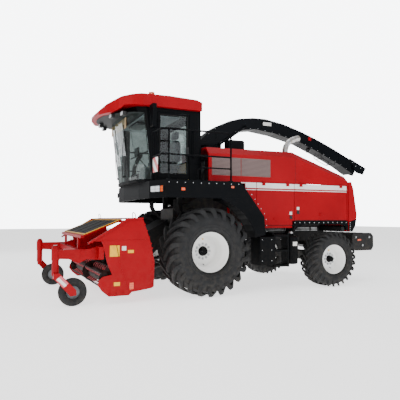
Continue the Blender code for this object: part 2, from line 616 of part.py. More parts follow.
def mirror(name, side):
    """A wing mirror: its housing and the arm from the cab's flank."""
    case = box(name, (1.05, -0.99, 3.02), (1.24, -0.92, 3.44))
    arm = tube("arm", [(CAB_X + GAP, -0.90, 3.30), (1.0, -0.90, 3.30), (1.08, -0.93, 3.30)], 0.014)
    foot = box("foot", (CAB_X + GAP, -0.93, 3.27), (CAB_X + 0.015, -0.87, 3.33))
    made = union(case, arm, foot)
    if side < 0:
        right = mirrored(made, name + "_right")
        bpy.data.objects.remove(made)
        right.name = name
        made = right
    return paint(made, "black")


def handrail(name, side):
    """The rail round the platform's side: two loops of tube on three feet."""
    x, foot = DECK_X - 0.02, DECK_TOP + GAP
    rear = 0.41
    top = tube(name, [(CAB_X + 0.08, -0.93, foot + 0.003), (CAB_X + 0.08, -0.93, 2.90), (CAB_X + 0.13, -0.93, 2.95),
                      (x - 0.06, -0.92, 2.95), (x, -0.86, 2.95), (x, rear - 0.06, 2.95), (x, rear, 2.89),
                      (x, rear, foot + 0.003)], 0.018)
    inside = x - 0.003
    middle = tube("middle", [(CAB_X + 0.083, -0.93, 2.51), (inside - 0.06, -0.923, 2.51), (inside, -0.863, 2.51),
                             (inside, rear, 2.51)], 0.014)
    post = tube("post", [(x + 0.001, -0.80, foot + 0.004), (x + 0.001, -0.80, 2.951)], 0.0155)
    low = tube("low", [(inside, -0.25, foot + 0.005), (inside, -0.25, 2.26), (inside, -0.18, 2.30), (inside, rear, 2.30)],
               0.013)
    feet = [box("foot", (px - 0.035, py - 0.035, foot), (px + 0.035, py + 0.035, foot + 0.012))
            for px, py in ((CAB_X + 0.08, -0.93), (x - 0.016, -0.80), (x - 0.016, -0.25), (x - 0.016, rear))]
    made = union_of_many(top, middle, post, low, *feet)
    if side < 0:
        right = mirrored(made, name + "_right")
        bpy.data.objects.remove(made)
        right.name = name
        made = right
    return paint(made, "black")


# ---------------------------------------------------------------- hood and doors
def hood_section(y, inset, low):
    """One cross-section of the hood: upright flanks, shoulders that lean in, and a flat top."""
    stations = ((HOOD_FRONT, 2.62, 2.75), (HOOD_FOLD, 2.65, HOOD_TOP), (HOOD_REAR + 0.1, 2.16, 2.28))
    for (y0, s0, t0), (y1, s1, t1) in zip(stations, stations[1:]):
        if y <= y1:
            break
    share = (y - y0) / (y1 - y0)
    shoulder, top = s0 + share * (s1 - s0), t0 + share * (t1 - t0)
    x, top_x = HOOD_X - inset, HOOD_X - 0.12 - inset * 0.7
    return [(x, y, low), (x, y, shoulder - inset * 0.4), (top_x, y, top - inset),
            (-top_x, y, top - inset), (-x, y, shoulder - inset * 0.4), (-x, y, low)]


def hood_form(name, inset, low, front, rear):
    """The hood's form between two places along the machine."""
    stations = [front] + [y for y in (HOOD_FOLD,) if front < y < rear] + [rear]
    return loft(name, [hood_section(y, inset, low) for y in stations])


def hood_shell():
    """The hood: upper cover, fixed flank panels, and openings for the side doors and the spout."""
    flank_low = HOOD_LOW_FRONT
    upper = hood_form("hood_shell", 0, DECK_TOP + 0.008, HOOD_FRONT, HOOD_REAR)
    upper = cut(upper, hood_form("room", HOOD_WALL, DECK_TOP - 0.1, HOOD_FRONT - 0.2, HOOD_REAR + 0.05))
    panels = []
    for side in (1, -1):
        low, high = sorted((side * (HOOD_X - HOOD_WALL), side * HOOD_X))
        panels.append(box("flank", (low, HOOD_FLANK_FRONT, flank_low), (high, HOOD_REAR, DECK_TOP + 0.02)))
    shell = union(upper, *panels)
    for side in (1, -1):
        low, high = sorted((side * (HOOD_X - 0.1), side * (HOOD_X + 0.1)))
        shell = cut(shell, box("opening", (low, SIDE_DOOR_FRONT, flank_low - 0.1),
                               (high, SIDE_DOOR_REAR + 0.005, SIDE_DOOR_TOP)))
    bars = [box("bar", (-HOOD_X + HOOD_WALL / 2, y, RAIL_TOP + GAP), (HOOD_X - HOOD_WALL / 2, y + 0.04, z))
            for y, z in ((HOOD_FLANK_FRONT + 0.12, RAIL_TOP + 0.06), (3.38, RAIL_TOP + 0.06))]
    for side in (1, -1):
        low, high = sorted((side * (HOOD_X - 0.14), side * (HOOD_X - HOOD_WALL - RUN)))
        bars.append(box("post", (low, 3.38, RAIL_TOP + 0.01), (high, 3.42, 2.16)))
        low, high = sorted((side * (HOOD_X - 0.14), side * (HOOD_X - HOOD_WALL / 2)))
        bars.append(box("shoulder", (low, 3.38, 2.12), (high, 3.42, 2.22)))
        bars.append(box("sill", (low, HOOD_FLANK_FRONT + 0.12, RAIL_TOP + 0.02),
                        (high, HOOD_FLANK_FRONT + 0.16, 1.34)))
    shell = union(shell, *bars)
    well = rod("well", (0, SPOUT_Y, 2.2), (0, SPOUT_Y, 3.2), 0.27 + RUN, 24)
    return paint(cut(shell, well), "red")


def side_door(name, side, front, rear, low_edge):
    """A flank door hung along its upper edge, with a returned lower lip."""
    inner, outer = HOOD_X - SIDE_DOOR_T, HOOD_X
    panel = box(name, (inner, front, low_edge), (outer, rear, SIDE_DOOR_TOP - RUN))
    pocket = box("pocket", (inner - 0.1, front + 0.04, low_edge + 0.04),
                 (inner + 0.018, rear - 0.04, SIDE_DOOR_TOP - RUN - 0.04))
    latch = box("latch", (outer - 0.005, (front + rear) / 2 - 0.05, low_edge + 0.10),
                (outer + 0.012, (front + rear) / 2 + 0.05, low_edge + 0.15))
    axis_x = HOOD_X + HINGE_R + SEAT
    hinges = []
    for y in (front + 0.12, rear - 0.20):
        hinges.append(rod("knuckle", (axis_x, y, SIDE_DOOR_TOP), (axis_x, y + 0.08, SIDE_DOOR_TOP), HINGE_R, 12))
        hinges.append(box("leaf", (outer - 0.004, y + 0.005, SIDE_DOOR_TOP - RUN - 0.05),
                          (outer + 0.012, y + 0.075, SIDE_DOOR_TOP - 0.003)))
    made = union(cut(panel, pocket), latch, *hinges)
    if side < 0:
        right = mirrored(made, name + "_right")
        bpy.data.objects.remove(made)
        right.name = name
        made = right
    return paint(pivot(made, (side * axis_x, (front + rear) / 2, SIDE_DOOR_TOP)), "red")


def side_doors():
    """Two doors on each flank, split where the panels meet."""
    for side, word in ((1, "left"), (-1, "right")):
        side_door("side_door_front_" + word, side, SIDE_DOOR_FRONT + RUN, DOOR_SPLIT_Y - RUN / 2, HOOD_LOW_FRONT)
        side_door("side_door_rear_" + word, side, DOOR_SPLIT_Y + RUN / 2, SIDE_DOOR_REAR - RUN, HOOD_LOW_REAR)


def rear_door():
    """The bowed rear door, a tray that closes the hood's end, hung on its right edge."""
    y = HOOD_REAR + 0.02
    outline = [(y, REAR_DOOR_TOP - 0.02), (3.56, REAR_DOOR_TOP), (3.62, 2.05), (3.71, 1.48), (3.66, 1.25),
               (3.58, REAR_DOOR_LOW), (y, REAR_DOOR_LOW)]
    inner = [(y - 0.1, REAR_DOOR_TOP - 0.05), (3.54, REAR_DOOR_TOP - 0.05), (3.59, 2.04), (3.68, 1.48),
             (3.63, 1.27), (3.56, REAR_DOOR_LOW + 0.03), (y - 0.1, REAR_DOOR_LOW + 0.03)]
    x = HOOD_X - 0.005
    made = cut(prism("rear_door", outline, "x", -x, x), prism("inner", inner, "x", -x + 0.03, x - 0.03))
    hinge = (-HOOD_X - HINGE_R - SEAT, HOOD_REAR - 0.002, 0)
    for z in (1.45, 1.95):
        made = union(made, rod("knuckle", (hinge[0], hinge[1], z), (hinge[0], hinge[1], z + 0.10), HINGE_R, 12),
                     box("leaf", (hinge[0] - 0.005, HOOD_REAR + 0.004, z + 0.005),
                         (-x + 0.01, HOOD_REAR + 0.06, z + 0.095)))
    return paint(pivot(made, hinge), "red")


def exhaust_pipe():
    """The bright exhaust: a slanted pipe with its end cut level with the ground, on a plate."""
    x = 0.70
    bend = [(x, 2.18, 2.70), (x, 2.185, 2.88), (x, 2.21, 2.96), (x, 2.26, 3.03), (x, 2.33, 3.085), (x, 2.42, 3.125),
            (x, 2.56, 3.165)]
    outer = tube("exhaust_pipe", bend, 0.062)
    bore = tube("bore", bend[3:] + [(x, 2.75, 3.22)], 0.054)
    end = prism("end", [(2.50, 3.30), (2.56, 3.10), (2.52, 3.00), (2.80, 3.00), (2.80, 3.30)], "x", x - 0.1, x + 0.1)
    heel = box("heel", (x - 0.1, 2.0, 2.6), (x + 0.1, 2.4, 2.7573))
    pipe = cut(outer, bore, end, heel)
    return paint(pipe, "steel")


def air_cleaner():
    """The black intake box on the hood's left shoulder, ahead of the exhaust."""
    top = 2.7608
    case = prism("air_cleaner", [(0.56, 0), (0.76, 0), (0.76, 0.20), (0.72, 0.24), (0.60, 0.24), (0.56, 0.20)],
                 "y", 0.78, 1.14)
    case.data.transform(Matrix.Translation((0, 0, top)))
    return paint(case, "black")


# ---------------------------------------------------------------- spout
SPOUT_TOP = [(0.42, 3.05 + SEAT), (0.53, 3.16), (0.63, 3.25), (0.77, 3.35), (0.92, 3.43), (1.11, 3.515),
             (1.36, 3.59), (1.70, 3.64), (2.03, 3.645), (2.52, 3.57), (3.02, 3.435), (3.55, 3.255),
             (4.03, 3.065), (4.47, 2.87)]
SPOUT_UNDER = [(0.90, 3.05 + SEAT), (1.06, 3.09), (1.18, 3.18), (1.28, 3.27), (1.46, 3.35), (1.77, 3.39),
               (2.30, 3.33), (3.02, 3.17), (3.54, 2.975), (4.21, 2.69), (4.56, 2.50)]


def spout_turret():
    """The turning base of the spout: its ring, square throat and the lift cylinder's ear."""
    seat = SPOUT_SEAT_Z + GAP
    ring = turned("spout_turret", [(0.145, seat), (0.265, seat), (0.265, seat + 0.04), (0.23, seat + 0.06),
                                   (0.145, seat + 0.06)][::-1], (0, SPOUT_Y, 0), "z", 24)
    throat = prism("throat", [(0.40, seat + 0.05), (0.90, seat + 0.05), (0.90, 3.05), (0.40, 3.05)], "x",
                   -SPOUT_X, SPOUT_X)
    bore = prism("bore", [(0.40 + SPOUT_WALL, seat), (0.90 - SPOUT_WALL, seat), (0.90 - SPOUT_WALL, 3.2),
                          (0.40 + SPOUT_WALL, 3.2)], "x", -SPOUT_X + SPOUT_WALL, SPOUT_X - SPOUT_WALL)
    well = rod("well", (0, SPOUT_Y, seat - 0.1), (0, SPOUT_Y, seat + 0.2), 0.145, 24)
    plate = box("plate", (-SPOUT_X, 0.40, seat + 0.045), (SPOUT_X, 0.90, seat + 0.06))
    ear = prism("ear", [(0.78, seat + 0.01), (0.90, seat + 0.01), (0.90, 3.00), (0.83, 3.02), (0.78, 2.98)], "x",
                SPOUT_X - 0.005, SPOUT_ARM_X - 0.033)
    pin = rod("pin", (SPOUT_ARM_X - 0.04, SPOUT_PIN[1], SPOUT_PIN[2]),
              (SPOUT_ARM_X + 0.025, SPOUT_PIN[1], SPOUT_PIN[2]), 0.012, 12)
    hinge = [box("hinge", (side * 0.12 - 0.03, 0.365, 3.00), (side * 0.12 + 0.03, 0.41, 3.035)) for side in (1, -1)]
    body = union(cut(union(ring, throat, plate), bore, well), ear, pin, *hinge)
    return paint(pivot(body, (0, SPOUT_Y, seat)), "black")


def spout_chute():
    """The long curved chute, a square channel open at both ends, with its edge flanges."""
    chute = prism("spout_chute", SPOUT_TOP + SPOUT_UNDER[::-1], "x", -SPOUT_X, SPOUT_X)
    hollow_top = [(y + 0.010, z - SPOUT_WALL) for y, z in SPOUT_TOP]
    hollow_under = [(y - 0.010, z + SPOUT_WALL) for y, z in SPOUT_UNDER]
    hollow_top[0], hollow_under[0] = (0.42 + SPOUT_WALL, 2.9), (0.90 - SPOUT_WALL, 2.9)
    hollow_top.insert(1, (0.42 + SPOUT_WALL, 3.045))
    hollow_under.insert(1, (0.90 - SPOUT_WALL, 3.064))
    hollow_top[-1], hollow_under[-1] = (4.70, 2.755), (4.70, 2.44)
    chute = cut(chute, prism("hollow", hollow_top + hollow_under[::-1], "x", -SPOUT_X + SPOUT_WALL,
                             SPOUT_X - SPOUT_WALL))
    eye_y, eye_z = SPOUT_EYE[1], SPOUT_EYE[2]
    pad = box("pad", (SPOUT_X - 0.005, eye_y - 0.05, eye_z - 0.04), (SPOUT_X + 0.012, eye_y + 0.05, eye_z + 0.04))
    return paint(pivot(union(chute, pad), LIFT_HINGE), "black")


def spout_flap():
    """The guide flap hung at the spout's end, with short cheeks."""
    hy, hz = FLAP_HINGE[1], FLAP_HINGE[2]
    outline = [(hy + 0.004, hz - 0.006), (hy + 0.008, hz + 0.005), (4.983, 2.66), (4.885, 2.495), (4.66, 2.54),
               (4.585, 2.70)]
    flap = prism("spout_flap", outline, "x", -FLAP_X, FLAP_X)
    inner = [(hy - 0.02, hz - 0.009), (hy + 0.012, hz - 0.009), (5.02, 2.632), (5.02, 2.3), (4.3, 2.3)]
    inside = FLAP_X - SPOUT_WALL
    flap = cut(flap, prism("inner", inner, "x", -inside, inside))
    flap = union(flap, rod("knuckle", (-SPOUT_X + 0.01, hy, hz), (SPOUT_X - 0.01, hy, hz), 0.008, 12))
    return paint(pivot(flap, FLAP_HINGE), "black")


def cylinder_pair(name, places):
    """Lift cylinders: barrels with their pinned eyes, and rods that slide out of them.

    Each place is (pin, eye, bore, radius): the two eyes' middles, the pin's radius and the barrel's radius.
    The rod's eye is left whole and stands free between its lugs, because it drifts a little from their line.
    """
    barrels, rods = [], []
    for pin, eye, bore, radius in places:
        pin, eye = Vector(pin), Vector(eye)
        along = (eye - pin).normalized()
        length = (eye - pin).length
        split = length * 0.70
        barrel = rod(name + "_barrel", pin + along * (bore + 0.03), pin + along * split, radius, 12)
        neck = rod("neck", pin + along * (bore + 0.006), pin + along * (bore + 0.04), radius * 0.5, 12)
        well = rod("well", pin + along * (bore + 0.06), pin + along * (split + 0.1), radius * 0.55 + SEAT * 0.8, 12)
        side = Vector((0.022, 0, 0))
        knuckle = rod("eye", pin - side, pin + side, bore + 0.016, 12)
        hole = rod("hole", pin - side * 2, pin + side * 2, bore + 0.0008, 12)
        barrels.append(cut(union(cut(barrel, well), neck, knuckle), hole))
        shaft = rod(name + "_rod", pin + along * (bore + 0.08), eye - along * (bore + 0.004), radius * 0.55, 12)
        rods.append(union(shaft, rod("eye", eye - side, eye + side, bore + 0.016, 12)))
    return barrels, rods


def spout_cylinder():
    """The spout's lift cylinder beside the chute's foot."""
    barrels, rods = cylinder_pair("spout_lift", [(SPOUT_PIN, SPOUT_EYE, 0.012, 0.024)])
    paint(pivot(barrels[0], SPOUT_PIN), "black")
    paint(pivot(rods[0], SPOUT_PIN), "steel")


# ---------------------------------------------------------------- pick-up header
def feeder_housing():
    """The feeder between header and chopper: a channel open at both ends."""
    rear, front = -0.37, HEADER_BACK_Y + GAP
    outline = [(rear, 1.38), (rear, 1.00), (front, 0.36), (front, 1.00)]
    body = prism("feeder_housing", outline, "x", -FEEDER_X, FEEDER_X)
    wall = FEEDER_WALL
    room = prism("room", [(rear + 0.1, 1.38 - wall * 2), (rear + 0.1, 1.16), (rear - 0.06, 1.00 + wall * 2),
                          (front + 0.05, 0.41), (front - 0.1, 0.38 + wall), (front - 0.1, 0.90),
                          (front + 0.05, 0.98 - wall)], "x", -FEEDER_X + wall, FEEDER_X - wall)
    pins = [rod("pivot", (side * (FEEDER_X - 0.01), *HEADER_PIVOT[1:]),
                (side * (0.383 - SEAT), *HEADER_PIVOT[1:]), 0.05, 20)
            for side in (1, -1)]
    return paint(union(cut(body, room), *pins), "black")


def header_frame():
    """The header's back wall, floor pan, top beam, end plates and lift brackets."""
    back = HEADER_BACK_Y
    x = HEADER_X
    wall = prism("header_frame", [(back, 0.25), (back - HEADER_BACK_T, 0.25), (back - HEADER_BACK_T - 0.06, 1.03),
                                  (back - 0.06, 1.03)], "x", -x + SIDE_T / 2, x - SIDE_T / 2)
    throat = box("throat", (-FEEDER_X, back - 0.06, 0.40), (FEEDER_X, back, 1.00))
    window = box("window", (-FEEDER_X + FEEDER_WALL, back - 0.2, 0.43), (FEEDER_X - FEEDER_WALL, back + 0.2, 0.95))
    pan_top = arc((AUGER_Y, AUGER_Z), AUGER_R + 0.03, -20, -125, 8)
    pan_low = arc((AUGER_Y, AUGER_Z), AUGER_R + 0.05, -125, -20, 8)
    pan = prism("pan", pan_top + pan_low, "x", -x + 0.012, x - 0.012)
    shelf = box("shelf", (-x + 0.008, back - 0.065, 0.40), (x - 0.008, back - 0.02, 0.43))
    brace = prism("brace", [(back - 0.01, 0.25), (AUGER_Y + 0.02, 0.335), (AUGER_Y + 0.02, 0.36), (back - 0.01, 0.30)],
                  "x", -x + 0.014, x - 0.014)
    beam = box("beam", (-x + 0.006, back - 0.14, 0.97), (x - 0.006, back - 0.063, 1.07))
    side_outline = [(-1.50, 1.40), (-1.25, 1.41), (-1.12, 1.04), (-1.04, 0.68), (-1.05, 0.26), (-1.09, 0.235), (-1.30, 0.205),
                    (-1.43, 0.19), (-1.48, 0.14), (-1.81, 0.14), (-1.92, 0.23), (-1.99, 0.33), (-1.97, 0.41),
                    (-1.91, 0.46), (-1.76, 0.49), (-1.84, 0.68), (-1.90, 0.93), (-1.93, 1.03), (-2.10, 1.03)]
    sides = []
    for side in (1, -1):
        low, high = sorted((side * (x - SIDE_T), side * x))
        sides.append(prism("side", side_outline, "x", low, high))
        low, high = sorted((side * (x - SIDE_T / 2), side * (x + 0.03)))
        flange = prism("flange", [(-2.16, 1.012), (-1.503, 1.404), (-1.245, 1.414), (-1.245, 1.388),
                                  (-1.495, 1.378), (-2.14, 0.990)], "x", low, high)
        sides.append(flange)
    brackets = [box("bracket", (side * LIFT_ARM_X - 0.05, back - 0.02, 0.33),
                    (side * LIFT_ARM_X + 0.05, back + 0.05, 0.47)) for side in (1, -1)]
    ears = [box("ear", (side * LIFT_ARM_X + s * 0.038 - 0.008, back + 0.04, 0.36),
                (side * LIFT_ARM_X + s * 0.038 + 0.008, LIFT_EYE[1] + 0.03, 0.44))
            for side in (1, -1) for s in (1, -1)]
    made = union_of_many(wall, throat, *sides, pan, brace, shelf, beam, *brackets, *ears)
    return paint(pivot(cut(made, window), HEADER_PIVOT), "red")


def guard_frame():
    """The crop guard over the drum and the wheel frame ahead of it: mat, tubes, arms and sleeves."""
    rear, front = (-1.50, 1.36), (-2.17, 1.09)
    x = 1.12
    mat = prism("guard_frame", [rear, (rear[0] - 0.01, rear[1] + 0.025), (front[0], front[1] + 0.025), front], "x", -x, x)
    rear_bar = box("rear bar", (-HEADER_X + SIDE_T + GAP, -1.54, 1.33), (HEADER_X - SIDE_T - GAP, -1.49, 1.37))
    front_bar = box("front bar", (-x, -2.20, 1.07), (x, -2.15, 1.12))
    cross = box("cross", (-GAUGE_X - 0.05, -2.24, 0.80), (GAUGE_X + 0.05, -2.16, 0.88))
    uprights = [box("upright", (px - 0.03, -2.205, 0.86), (px + 0.03, -2.165, 1.08)) for px in (-0.63, 0.84)]
    arms, sleeves, bores = [], [], []
    for side in (1, -1):
        px = side * GAUGE_X
        arms.append(prism("arm", [(POST_Y + 0.02, 0.76), (POST_Y + 0.02, 0.90), (-2.10, 0.90), (-1.90, 0.96),
                                  (-1.90, 0.72), (-2.14, 0.74), (-2.26, 0.68), (-2.42, 0.75)], "x",
                          px - 0.04, px + 0.04))
        inner, outer = sorted((px, side * (HEADER_X - SIDE_T - GAP)))
        arms.append(box("gusset", (inner, -1.97, 0.74), (outer, -1.89, 0.94)))
        sleeves.append(rod("sleeve", (px, POST_Y, 0.74), (px, POST_Y, 0.92), POST_R + 0.022, 16))
        bores.append(rod("bore", (px, POST_Y, 0.6), (px, POST_Y, 1.2), POST_R + 0.0035, 12))
    made = cut(union(mat, rear_bar, front_bar, cross, *uprights, *arms, *sleeves), *bores)
    return paint(pivot(made, HEADER_PIVOT), "red")


def flighting(name, start_x, end_x, hand):
    """A screw flight round the auger's core, as a thin helical band."""
    turns, per_turn = 2.5, 12
    count = int(turns * per_turn)
    half = 0.006
    sections = []
    for i in range(count + 1):
        angle = hand * 2 * math.pi * (i + 0.37) / per_turn
        x = start_x + (end_x - start_x) * i / count
        sections.append([(x + dx, AUGER_Y + r * math.cos(angle), AUGER_Z + r * math.sin(angle))
                         for r, dx in ((AUGER_CORE_R - 0.012, -half), (AUGER_R, -half), (AUGER_R, half),
                                       (AUGER_CORE_R - 0.012, half))])
    return loft(name, sections)


def auger():
    """The header's auger: a core with left and right hand flights that feed the middle."""
    end = HEADER_X - SIDE_T - SEAT
    core = rod("auger", (-end, AUGER_Y, AUGER_Z), (end, AUGER_Y, AUGER_Z), AUGER_CORE_R, 12)
    flights = [flighting("flight", side * (end - 0.05), side * 0.30, side) for side in (1, -1)]
    return paint(pivot(union(core, *flights), (0, AUGER_Y, AUGER_Z)), "black")


def pickup_drum():
    """The pick-up reel: a shaft, two end discs and five bars that carry the tines."""
    end = HEADER_X - SIDE_T - SEAT
    shaft = rod("pickup_drum", (-end, DRUM_Y, DRUM_Z), (end, DRUM_Y, DRUM_Z), 0.05, 16)
    discs = [rod("disc", (side * (end - 0.06), DRUM_Y, DRUM_Z), (side * (end - 0.05), DRUM_Y, DRUM_Z), DRUM_R - 0.003, 20)
             for side in (1, -1)]
    discs.append(rod("disc", (-0.005, DRUM_Y, DRUM_Z), (0.005, DRUM_Y, DRUM_Z), DRUM_R - 0.003, 20))
    bars = [rod("bar", (-end + 0.03, y, z), (end - 0.03, y, z), 0.014, 8)
            for y, z in [(DRUM_Y + (DRUM_R - 0.014) * math.cos(a), DRUM_Z + (DRUM_R - 0.014) * math.sin(a))
                         for a in [2 * math.pi * i / 5 for i in range(5)]]]
    return paint(pivot(union(shaft, *discs, *bars), (0, DRUM_Y, DRUM_Z)), "black")


def gauge_wheels():
    """The two trailing gauge wheels, each on a post that turns in its sleeve."""
    hub_y = POST_Y + GAUGE_TRAIL
    for side, word in ((1, "left"), (-1, "right")):
        px = side * GAUGE_X
        ax = px + side * (GAUGE_W / 2 + 0.035)
        post = rod("caster_" + word, (px, POST_Y, 0.44), (px, POST_Y, 0.97), POST_R, 12)
        collar = rod("collar", (px, POST_Y, 0.50), (px, POST_Y, 0.74 - SEAT), POST_R + 0.015, 12)
        cap = rod("cap", (px, POST_Y, 0.92 + SEAT), (px, POST_Y, 0.95), POST_R + 0.015, 12)
        low, high = sorted((px - side * 0.03, ax + side * 0.012))
        shoulder = box("shoulder", (low, POST_Y - 0.035, 0.46), (high, POST_Y + 0.035, 0.54))
        low, high = sorted((ax - side * 0.012, ax + side * 0.012))
        arm = prism("arm", [(POST_Y - 0.035, 0.54), (POST_Y - 0.035, 0.46), (hub_y - 0.05, GAUGE_R - 0.05),
                            (hub_y + 0.04, GAUGE_R - 0.04), (hub_y + 0.04, GAUGE_R + 0.04),
                            (POST_Y + 0.05, 0.54)], "x", low, high)
        stub = rod("stub", (ax, hub_y, GAUGE_R), (px - side * GAUGE_W / 2, hub_y, GAUGE_R), 0.0192, 12)
        paint(pivot(union(post, collar, cap, shoulder, arm, stub), (px, POST_Y, 0)), "red")
        half, bore = GAUGE_W / 2, 0.020
        profile = [(bore, -half * 0.7), (0.06, -half * 0.35), (0.11, -half * 0.35), (GAUGE_R - 0.03, -half),
                   (GAUGE_R, -half * 0.6), (GAUGE_R, half * 0.6), (GAUGE_R - 0.03, half), (0.11, half * 0.35),
                   (0.06, half * 0.35), (bore, half * 0.7)]
        roller = turned("gauge_wheel_" + word, profile, (px, hub_y, GAUGE_R))
        paint(pivot(roller, (px, hub_y, GAUGE_R)), "tyre")


def header_cylinders():
    """The two header lift cylinders; the barrels share a cross shaft, and the rods another."""
    places = [((side * LIFT_PIN[0], *LIFT_PIN[1:]), (side * LIFT_EYE[0], *LIFT_EYE[1:]), 0.018, 0.042)
              for side in (1, -1)]
    barrels, rods = cylinder_pair("header_lift", places)
    pin, eye = Vector(LIFT_PIN), Vector(LIFT_EYE)
    along = (eye - pin).normalized()
    tie = pin + along * 0.30
    tie = rod("tie", (-LIFT_ARM_X + 0.03, tie.y, tie.z), (LIFT_ARM_X - 0.03, tie.y, tie.z), 0.016, 12)
    barrel = union(barrels[0], barrels[1], tie)
    barrel.name = "header_lift_barrels"
    paint(pivot(barrel, (0, *LIFT_PIN[1:])), "black")
    for shaft, word in zip(rods, ("left", "right")):
        shaft.name = "header_lift_rod_" + word
        paint(pivot(shaft, (0, *LIFT_PIN[1:])), "steel")


# ---------------------------------------------------------------- assembly
def main():
    """Model every piece and stand the machine on its own frame."""
    for old in list(bpy.data.objects):
        bpy.data.objects.remove(old)
    main_frame()
    drive_axle()
    rear_axle()
    engine_block()
    chopper_housing()
    counterweight()
    service_steps()
    fuel_tank()
    front_wheels()
    rear_wheels()
    cab_platform()
    cab_shell()
    cab_glass()
    cab_door()
    cab_roof()
    seat()
    steering_column()
    base, lamp = beacon()
    paint(union(lamp, base), "amber").name = "beacon"
    for side, word in ((1, "left"), (-1, "right")):
        fender("fender_" + word, side)
        mirror("mirror_" + word, side)
        handrail("handrail_" + word, side)
    hood_shell()
    side_doors()
    rear_door()
    exhaust_pipe()
    air_cleaner()
    spout_turret()
    spout_chute()
    spout_flap()
    spout_cylinder()
    feeder_housing()
    header_frame()
    guard_frame()
    auger()
    pickup_drum()
    gauge_wheels()
    header_cylinders()
    machine = bpy.data.objects.new("machine", None)
    collection("forage_harvester").objects.link(machine)
    machine.location = (0, FRONT_AXLE_Y, 0)
    for made in list(bpy.data.objects):
        if made is not machine:
            made.parent = machine
    bpy.context.view_layer.update()


main()
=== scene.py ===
"""Looks for a self-propelled forage harvester with a pick-up header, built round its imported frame."""

import math

import bmesh
import bpy
import numpy as np
from bpy.props import FloatProperty, FloatVectorProperty, IntProperty, PointerProperty
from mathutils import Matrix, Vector
from mathutils.bvhtree import BVHTree


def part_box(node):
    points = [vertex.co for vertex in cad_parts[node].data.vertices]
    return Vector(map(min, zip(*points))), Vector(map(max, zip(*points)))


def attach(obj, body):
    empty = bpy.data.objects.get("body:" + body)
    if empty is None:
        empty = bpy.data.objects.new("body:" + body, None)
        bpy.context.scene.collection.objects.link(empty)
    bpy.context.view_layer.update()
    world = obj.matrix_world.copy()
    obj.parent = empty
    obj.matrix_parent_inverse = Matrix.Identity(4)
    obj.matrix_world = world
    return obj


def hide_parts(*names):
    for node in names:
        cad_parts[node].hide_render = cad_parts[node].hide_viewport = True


bl_info = {
    "name": "Forage Harvester",
    "version": (1, 0, 0),
    "blender": (4, 5, 0),
    "location": "3D View > Sidebar > Harvester",
    "description": "Paint, tyres, cab trim, header tines and fittings for a forage harvester",
    "category": "Object",
}

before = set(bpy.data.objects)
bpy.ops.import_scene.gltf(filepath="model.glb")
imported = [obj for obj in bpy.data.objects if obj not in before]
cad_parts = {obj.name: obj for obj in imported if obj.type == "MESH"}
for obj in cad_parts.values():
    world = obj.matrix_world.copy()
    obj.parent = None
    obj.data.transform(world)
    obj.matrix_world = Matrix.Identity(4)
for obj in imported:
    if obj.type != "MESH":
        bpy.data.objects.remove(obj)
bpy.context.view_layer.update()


AXLE_Y = sum(corner[1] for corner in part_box("front_left_tyre")) / 2     # every y below is measured from this axle
SIDES = ((1, "left"), (-1, "right"))


def box(node):
    """A frame node's lowest and highest corners, with y measured from the drive axle."""
    return np.array(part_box(node)) - (0.0, AXLE_Y, 0.0)


def centre(node):
    """The middle of a frame node's box."""
    return box(node).mean(0)


# ---------------------------------------------------------------- shapes as arrays
def build(name, body, parts, look, edge=32):
    """Join (points, faces) parts in one mesh at the origin, face it outwards, smooth it below an angle."""
    points = np.concatenate([np.asarray(p, float).reshape(-1, 3) for p, _ in parts])
    points = points + (0.0, AXLE_Y, 0.0)
    faces, start = [], 0
    for own, own_faces in parts:
        faces += [tuple(int(i) + start for i in face) for face in own_faces]
        start += np.asarray(own).reshape(-1, 3).shape[0]
    mesh = bpy.data.meshes.new(name)
    mesh.from_pydata(points.tolist(), [], faces)
    work = bmesh.new()
    work.from_mesh(mesh)
    bmesh.ops.recalc_face_normals(work, faces=work.faces)
    work.to_mesh(mesh)
    work.free()
    mesh.polygons.foreach_set("use_smooth", np.ones(len(mesh.polygons), bool))
    mesh.set_sharp_from_angle(angle=math.radians(edge))
    mesh.materials.append(finish(look))
    made = bpy.data.objects.new(name, mesh)
    bpy.context.scene.collection.objects.link(made)
    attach(made, body)
    return made


def skin(rings, loop=False):
    """Walls between rings of an [m, n, 3] array, each ring closed; ends capped unless the rings loop."""
    rings = np.asarray(rings, float)
    m, n = rings.shape[:2]
    i, j = np.meshgrid(np.arange(m if loop else m - 1), np.arange(n), indexing="ij")
    i, j, i2, j2 = i.ravel(), j.ravel(), (i.ravel() + 1) % m, (j.ravel() + 1) % n
    faces = np.stack([i * n + j, i2 * n + j, i2 * n + j2, i * n + j2], 1).tolist()
    if not loop:
        faces += [list(range(n))[::-1], list(range((m - 1) * n, m * n))]
    return rings.reshape(-1, 3), faces


def inset(outline, distance):
    """A closed outline moved inwards: each corner goes along the mean of its two edges' normals."""
    outline = np.asarray(outline, float)
    ahead, behind = np.roll(outline, -1, 0) - outline, outline - np.roll(outline, 1, 0)
    turn = np.sum(outline[:, 0] * np.roll(outline[:, 1], -1) - outline[:, 1] * np.roll(outline[:, 0], -1))
    normals = [np.stack([-e[:, 1], e[:, 0]], 1) / np.maximum(np.linalg.norm(e, axis=1, keepdims=True), 1e-9)
               for e in (ahead, behind)]
    mean = normals[0] + normals[1]
    mean /= np.maximum(np.sum(mean * mean, 1, keepdims=True) / 2, 0.35)
    return outline + mean * distance * np.sign(turn)


def plate(outline, axis, low, high, edge):
    """An outline carried straight along an axis, its two end rings drawn in to round the edges over."""
    edge = min(edge, abs(high - low) / 2.5)
    order = {"x": (2, 0, 1), "y": (0, 2, 1), "z": (0, 1, 2)}[axis]
    rings = []
    for along, draw in ((low, edge), (low + edge, 0), (high - edge, 0), (high, edge)):
        flat = inset(outline, draw) if draw else np.asarray(outline, float)
        ring = np.column_stack([flat, np.full(len(flat), along)])
        rings.append(ring[:, order])
    return skin(rings)


